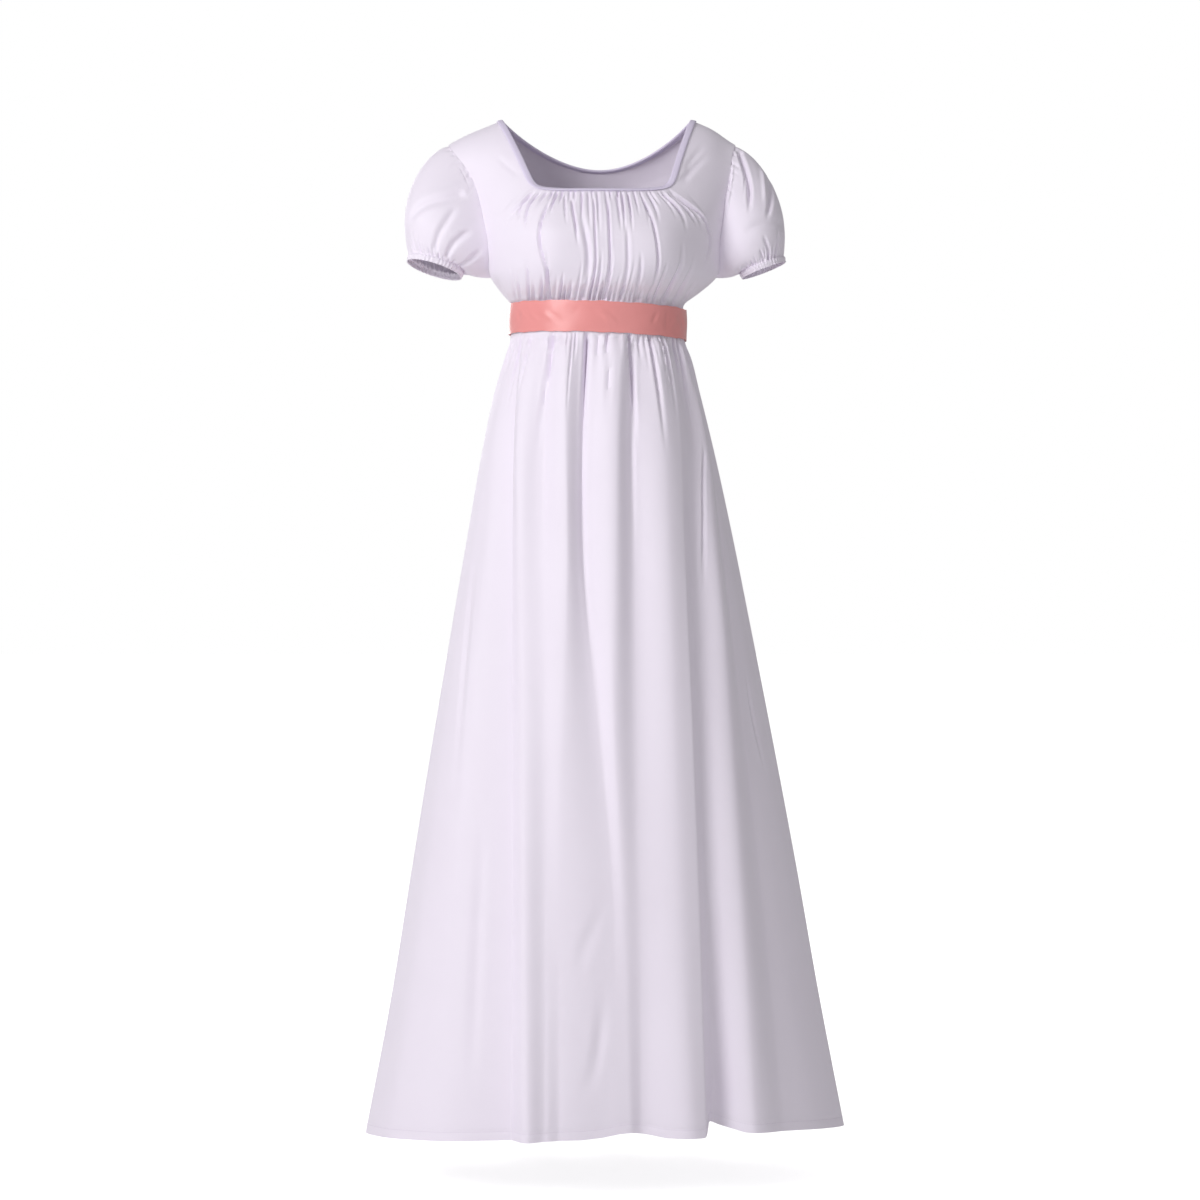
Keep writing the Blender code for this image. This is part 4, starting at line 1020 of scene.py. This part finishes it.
def sash_creases():
    """Slanting creases and soft ridges scattered over the flat ribbon."""
    draw = np.random.default_rng(5)
    folds = []
    for _ in range(46):
        at, slant = draw.uniform(2.9, 9.6) * SASH_RADIUS, draw.uniform(-0.030, 0.045)
        high, low = draw.uniform(-0.018, 0.0), draw.uniform(-0.0415, -0.022)
        path = [(at, high), (at + 0.6 * slant, 0.5 * (high + low)), (at + slant, low)]
        folds.append(Fold(path, draw.uniform(2.5, 6.0), draw.uniform(-0.9, 1.2), (0.4, 0.4)))
    return folds


def sash_surface():
    """The ribbon from its under end at the centre back, once round, to its folded top end."""
    lap = math.radians(9)  # on each side of the centre back
    turn = np.linspace(math.pi - lap, 3 * math.pi + lap, SASH_COLUMNS)
    depth = np.where(np.cos(turn) >= 0, WAIST_FRONT, WAIST_BACK)
    across, ahead, level = np.sin(turn), -np.cos(turn), 0 * turn
    normal = unit(np.stack([across / WAIST_HALF_WIDTH, ahead / depth, level], axis=-1))
    line = np.stack([across * WAIST_HALF_WIDTH, ahead * depth, level], axis=-1)
    over = smooth_step((turn - 3 * math.pi + 2.2 * lap) / lap)
    line = line + normal * (SASH_PROUD + SASH_OVER * over)[:, None]
    line[:, 2] -= SASH_ROLL * line[:, 0]
    share = np.linspace(0, 1, SASH_ROWS)[:, None]
    grid = line[None] + np.array([0.0, 0.0, 1.0]) * (SASH_TOP + share * (SASH_FOOT - SASH_TOP))[..., None]
    flat = np.stack(np.broadcast_arrays(turn[None] * SASH_RADIUS, (SASH_FOOT - SASH_TOP) * share), axis=-1)
    # The ribbon bellies out a little between its edges, unevenly round the body.
    wave = 0.0005 * np.sin(9 * turn + 3 * share) * np.sin(math.pi * share)
    out = troughs(flat, sash_creases()) + wave + 0.0006 * np.sin(math.pi * share)
    edge = (0.0004 * np.sin(13 * turn + 1.0) + 0.0003 * np.sin(31 * turn))[None] * (1 - 2 * share)
    grid = grid + normal[None] * out[..., None]
    grid[..., 2] += edge
    return grid


# Stitches

STITCH_PITCH, STITCH_LENGTH, THREAD = 0.0030, 0.0022, 0.0005
STITCH_PROUD = 0.0003  # how far a stitch's middle stands out of the cloth


def stitch_tree():
    """A line of stitches along a path: one rounded thread for each pitch, laid along it."""
    tree = bpy.data.node_groups.new("stitch_line", "GeometryNodeTree")
    tree.interface.new_socket("Path", in_out="INPUT", socket_type="NodeSocketGeometry")
    for name, size in (("Pitch", STITCH_PITCH), ("Stitch Length", STITCH_LENGTH), ("Thread", THREAD)):
        socket = tree.interface.new_socket(name, in_out="INPUT", socket_type="NodeSocketFloat")
        socket.default_value = size
    tree.interface.new_socket("Thread Material", in_out="INPUT", socket_type="NodeSocketMaterial")
    tree.interface.new_socket("Stitches", in_out="OUTPUT", socket_type="NodeSocketGeometry")
    given = add(tree, "NodeGroupInput").outputs
    path = add(tree, "GeometryNodeMeshToCurve", {"Mesh": given["Path"]}).outputs["Curve"]
    spaced = add(tree, "GeometryNodeResampleCurve", {"Curve": path, "Length": given["Pitch"]}, mode="LENGTH")
    bead = add(tree, "GeometryNodeMeshIcoSphere", {"Radius": 0.5, "Subdivisions": 1}).outputs["Mesh"]
    size = add(
        tree, "ShaderNodeCombineXYZ",
        {"X": given["Stitch Length"], "Y": given["Thread"], "Z": given["Thread"]},
    ).outputs["Vector"]
    stitch = add(tree, "GeometryNodeTransform", {"Geometry": bead, "Scale": size}).outputs["Geometry"]
    along = add(tree, "GeometryNodeInputTangent").outputs["Tangent"]
    turned = add(tree, "FunctionNodeAlignRotationToVector", {"Vector": along}, axis="X").outputs["Rotation"]
    laid = add(
        tree, "GeometryNodeInstanceOnPoints",
        {"Points": spaced.outputs["Curve"], "Instance": stitch, "Rotation": turned},
    ).outputs["Instances"]
    real = add(tree, "GeometryNodeRealizeInstances", {"Geometry": laid}).outputs["Geometry"]
    done = add(tree, "GeometryNodeSetMaterial", {"Geometry": real, "Material": given["Thread Material"]})
    add(tree, "NodeGroupOutput", {"Stitches": done.outputs["Geometry"]})
    return tree


def sew(tree, thread, name, path, slot, closed=True, pitch=STITCH_PITCH, length=STITCH_LENGTH):
    """Lays a line of stitches along a path of points and makes it a plain mesh."""
    ends = [(i, i + 1) for i in range(len(path) - 1)] + ([(len(path) - 1, 0)] if closed else [])
    mesh = bpy.data.meshes.new(name)
    mesh.from_pydata(np.asarray(path).tolist(), ends, [])
    piece = put(name, mesh)
    sewing = piece.modifiers.new("sewing", "NODES")
    sewing.node_group = tree
    values = {"Pitch": pitch, "Stitch Length": length, "Thread Material": thread}
    for socket in tree.interface.items_tree:
        if socket.in_out == "INPUT" and socket.name in values:
            sewing[socket.identifier] = values[socket.name]
    apply_modifiers(piece)
    place_piece(piece, None)


# Stage

def make_stage():
    """A white floor that fades into the white background, a little below the hem."""
    floor_level = cad_box[0].z - 0.060
    white = bpy.data.materials.new("studio_paper")
    white.use_nodes = True
    shader = white.node_tree.nodes["Principled BSDF"]
    shader.inputs["Base Color"].default_value = (0.9, 0.9, 0.9, 1.0)
    shader.inputs["Roughness"].default_value = 0.8
    shader.inputs["Emission Color"].default_value = (1.0, 1.0, 1.0, 1.0)
    seen = add(white.node_tree, "ShaderNodeLightPath").outputs["Is Camera Ray"]
    # It glows to the camera only, so that it looks as white as the background and lights nothing.
    glow = add(white.node_tree, "ShaderNodeMath", {0: seen, 1: 0.80}, operation="MULTIPLY").outputs["Value"]
    white.node_tree.links.new(glow, shader.inputs["Emission Strength"])
    half = 40.0
    corners = [(x * half, y * half, floor_level) for x, y in ((-1, -1), (1, -1), (1, 1), (-1, 1))]
    mesh = bpy.data.meshes.new("floor")
    mesh.from_pydata(corners, [], [(0, 1, 2, 3)])
    mesh.materials.append(white)
    put("floor", mesh)


def area_light(name, place, target, size, power, colour):
    """A round light, with its diameter in metres and its power in watts."""
    data = bpy.data.lights.new(name, "AREA")
    data.shape, data.size, data.energy, data.color = "DISK", size, power, colour
    light = put(name, data)
    light.location = place
    light.rotation_euler = (Vector(target) - Vector(place)).to_track_quat("-Z", "Y").to_euler()


def make_lights():
    """A key light in front on the gown's right, a weak low fill, one behind, and an even surrounding."""
    target = (0.0, 0.0, -0.62)
    area_light("key", (-2.5, -2.8, 1.0), target, 1.8, 86, (1.0, 0.99, 1.0))
    area_light("fill", (1.6, -3.3, -1.2), (0.1, 0.0, -1.1), 2.4, 11, (1.0, 0.98, 1.0))
    area_light("back", (-1.5, 3.5, 0.8), target, 2.0, 46, (1.0, 0.99, 1.0))
    world = bpy.data.worlds.new("studio")
    world.use_nodes = True
    tree = world.node_tree
    tree.nodes.clear()
    seen = add(tree, "ShaderNodeLightPath").outputs["Is Camera Ray"]
    lit_by, shown = 0.36, 1.0  # how strongly the surrounding lights the gown, and how bright it looks
    strength = add(tree, "ShaderNodeMix", {0: seen, 2: lit_by, 3: shown}).outputs[0]
    glow = add(tree, "ShaderNodeBackground", {"Color": (1.0, 1.0, 1.0, 1.0), "Strength": strength})
    add(tree, "ShaderNodeOutputWorld", {"Surface": glow.outputs["Background"]})
    bpy.context.scene.world = world


def make_camera():
    """Level with the middle of the gown, 4.2 m in front of it."""
    data = bpy.data.cameras.new("camera")
    view_height, distance, sensor = 1.644, 4.2, 36.0
    middle_x, middle_z = 0.0034, -0.6562
    data.sensor_width = sensor
    data.lens = sensor * distance / view_height
    data.clip_end = 200.0
    camera = put("camera", data)
    camera.location = (middle_x, -distance, middle_z)
    camera.rotation_euler = (math.radians(90), 0.0, 0.0)
    bpy.context.scene.camera = camera
    bpy.context.scene.view_settings.view_transform = "Standard"


# The gown

def make_bodice(finish, sewing):
    """The bodice panels and the neck's edge. Gives the two panels' surfaces, then the two pieces."""
    front, kept = front_bodice()
    back = back_bodice()
    sharp, line = neck_line(front, back)
    front = rounded_neck(front, sharp, line)
    panels = []
    for side, grid, cells, cut, flat, area in (
        ("front", front, kept, (0.40, 0.30), (0.46, 0.30), 0.075),
        ("back", back, None, (0.36, 0.28), (0.38, 0.29), 0.070),
    ):
        panel = cloth_piece(f"gown_{side}", grid, BODY_CENTRE, CLOTH, finish["sateen"], cut, cells)
        place_piece(panel, f"bodice_{side}")
        panels.append(panel)
    strip = binding_surface(line)
    cut = (0.84, 0.014)
    binding = cloth_piece("neck_edge", strip, line.mean(0), RIBBON, finish["binding"], cut, ring=True)
    place_piece(binding, "neck_binding")
    facing, inward = neck_frame(line)
    on_strip = line + facing * (0.0015 + STITCH_PROUD) + inward * 0.0008  # beside the strip's sewn edge
    sew(*sewing, "neck_stitches", on_strip, "gown_cloth")
    return front, back, panels


def make_sleeves(front, back, finish, sewing):
    """The puff sleeves, with a row of stitches at the top of each cuff's casing."""
    for name in SLEEVES:
        grid = sleeve_surface(name, front, back)
        sleeve = cloth_piece(
            f"puff_sleeve_{name}", grid, grid.mean((0, 1)), CLOTH, finish["sateen"], (0.40, 0.21), ring=True
        )
        place_piece(sleeve, f"sleeve_{name}")
        cuff = grid[SLEEVE_ROWS + 1]
        sew(*sewing, f"cuff_stitches_{name}", cuff + unit(cuff - cuff.mean(0)) * STITCH_PROUD, "gown_cloth")


def make_skirt(finish, sewing):
    """The two skirt panels, with one row of stitches round the turned hem."""
    axis = np.array([0.0, 0.0, -0.8])
    panels = {side: skirt_panel(side) for side in ("front", "back")}
    for side, grid in panels.items():
        panel = cloth_piece(f"skirt_{side}_panel", grid, axis, CLOTH, finish["sateen"], (0.90, 1.12))
        place_piece(panel, f"skirt_{side}")
    level = int(np.argmin(np.abs(skirt_levels() - HEM_LEVEL - HEM_TURNING)))
    hem = np.concatenate([panels["front"][level], panels["back"][level, ::-1][1:-1]])
    hem += unit(hem * [1, 1, 0]) * STITCH_PROUD
    sew(*sewing, "hem_stitches", hem, "gown_cloth", pitch=0.0034, length=0.0024)


def make_sash(finish, sewing):
    """The ribbon round the empire seam, with its upper end sewn down."""
    grid, cut = sash_surface(), (0.74, 0.042)
    sash = cloth_piece("sash_ribbon", grid, grid.mean((0, 1)), RIBBON, finish["satin"], cut)
    place_piece(sash, "sash")
    end = grid[1:-1, -3] + np.array([0.0, 0.0004, 0.0])  # up the ribbon, close to its end
    sew(*sewing, "sash_stitches", end, "sash_ribbon", closed=False)


def make_gown():
    """Made in the order of the real one: bodice, sleeves, skirt, and the sash over the seam."""
    finish = make_materials()
    sewing = (stitch_tree(), finish["thread"])
    front, back, panels = make_bodice(finish, sewing)
    make_sleeves(front, back, finish, sewing)
    make_skirt(finish, sewing)
    make_sash(finish, sewing)


make_camera()
make_stage()
make_lights()
make_gown()
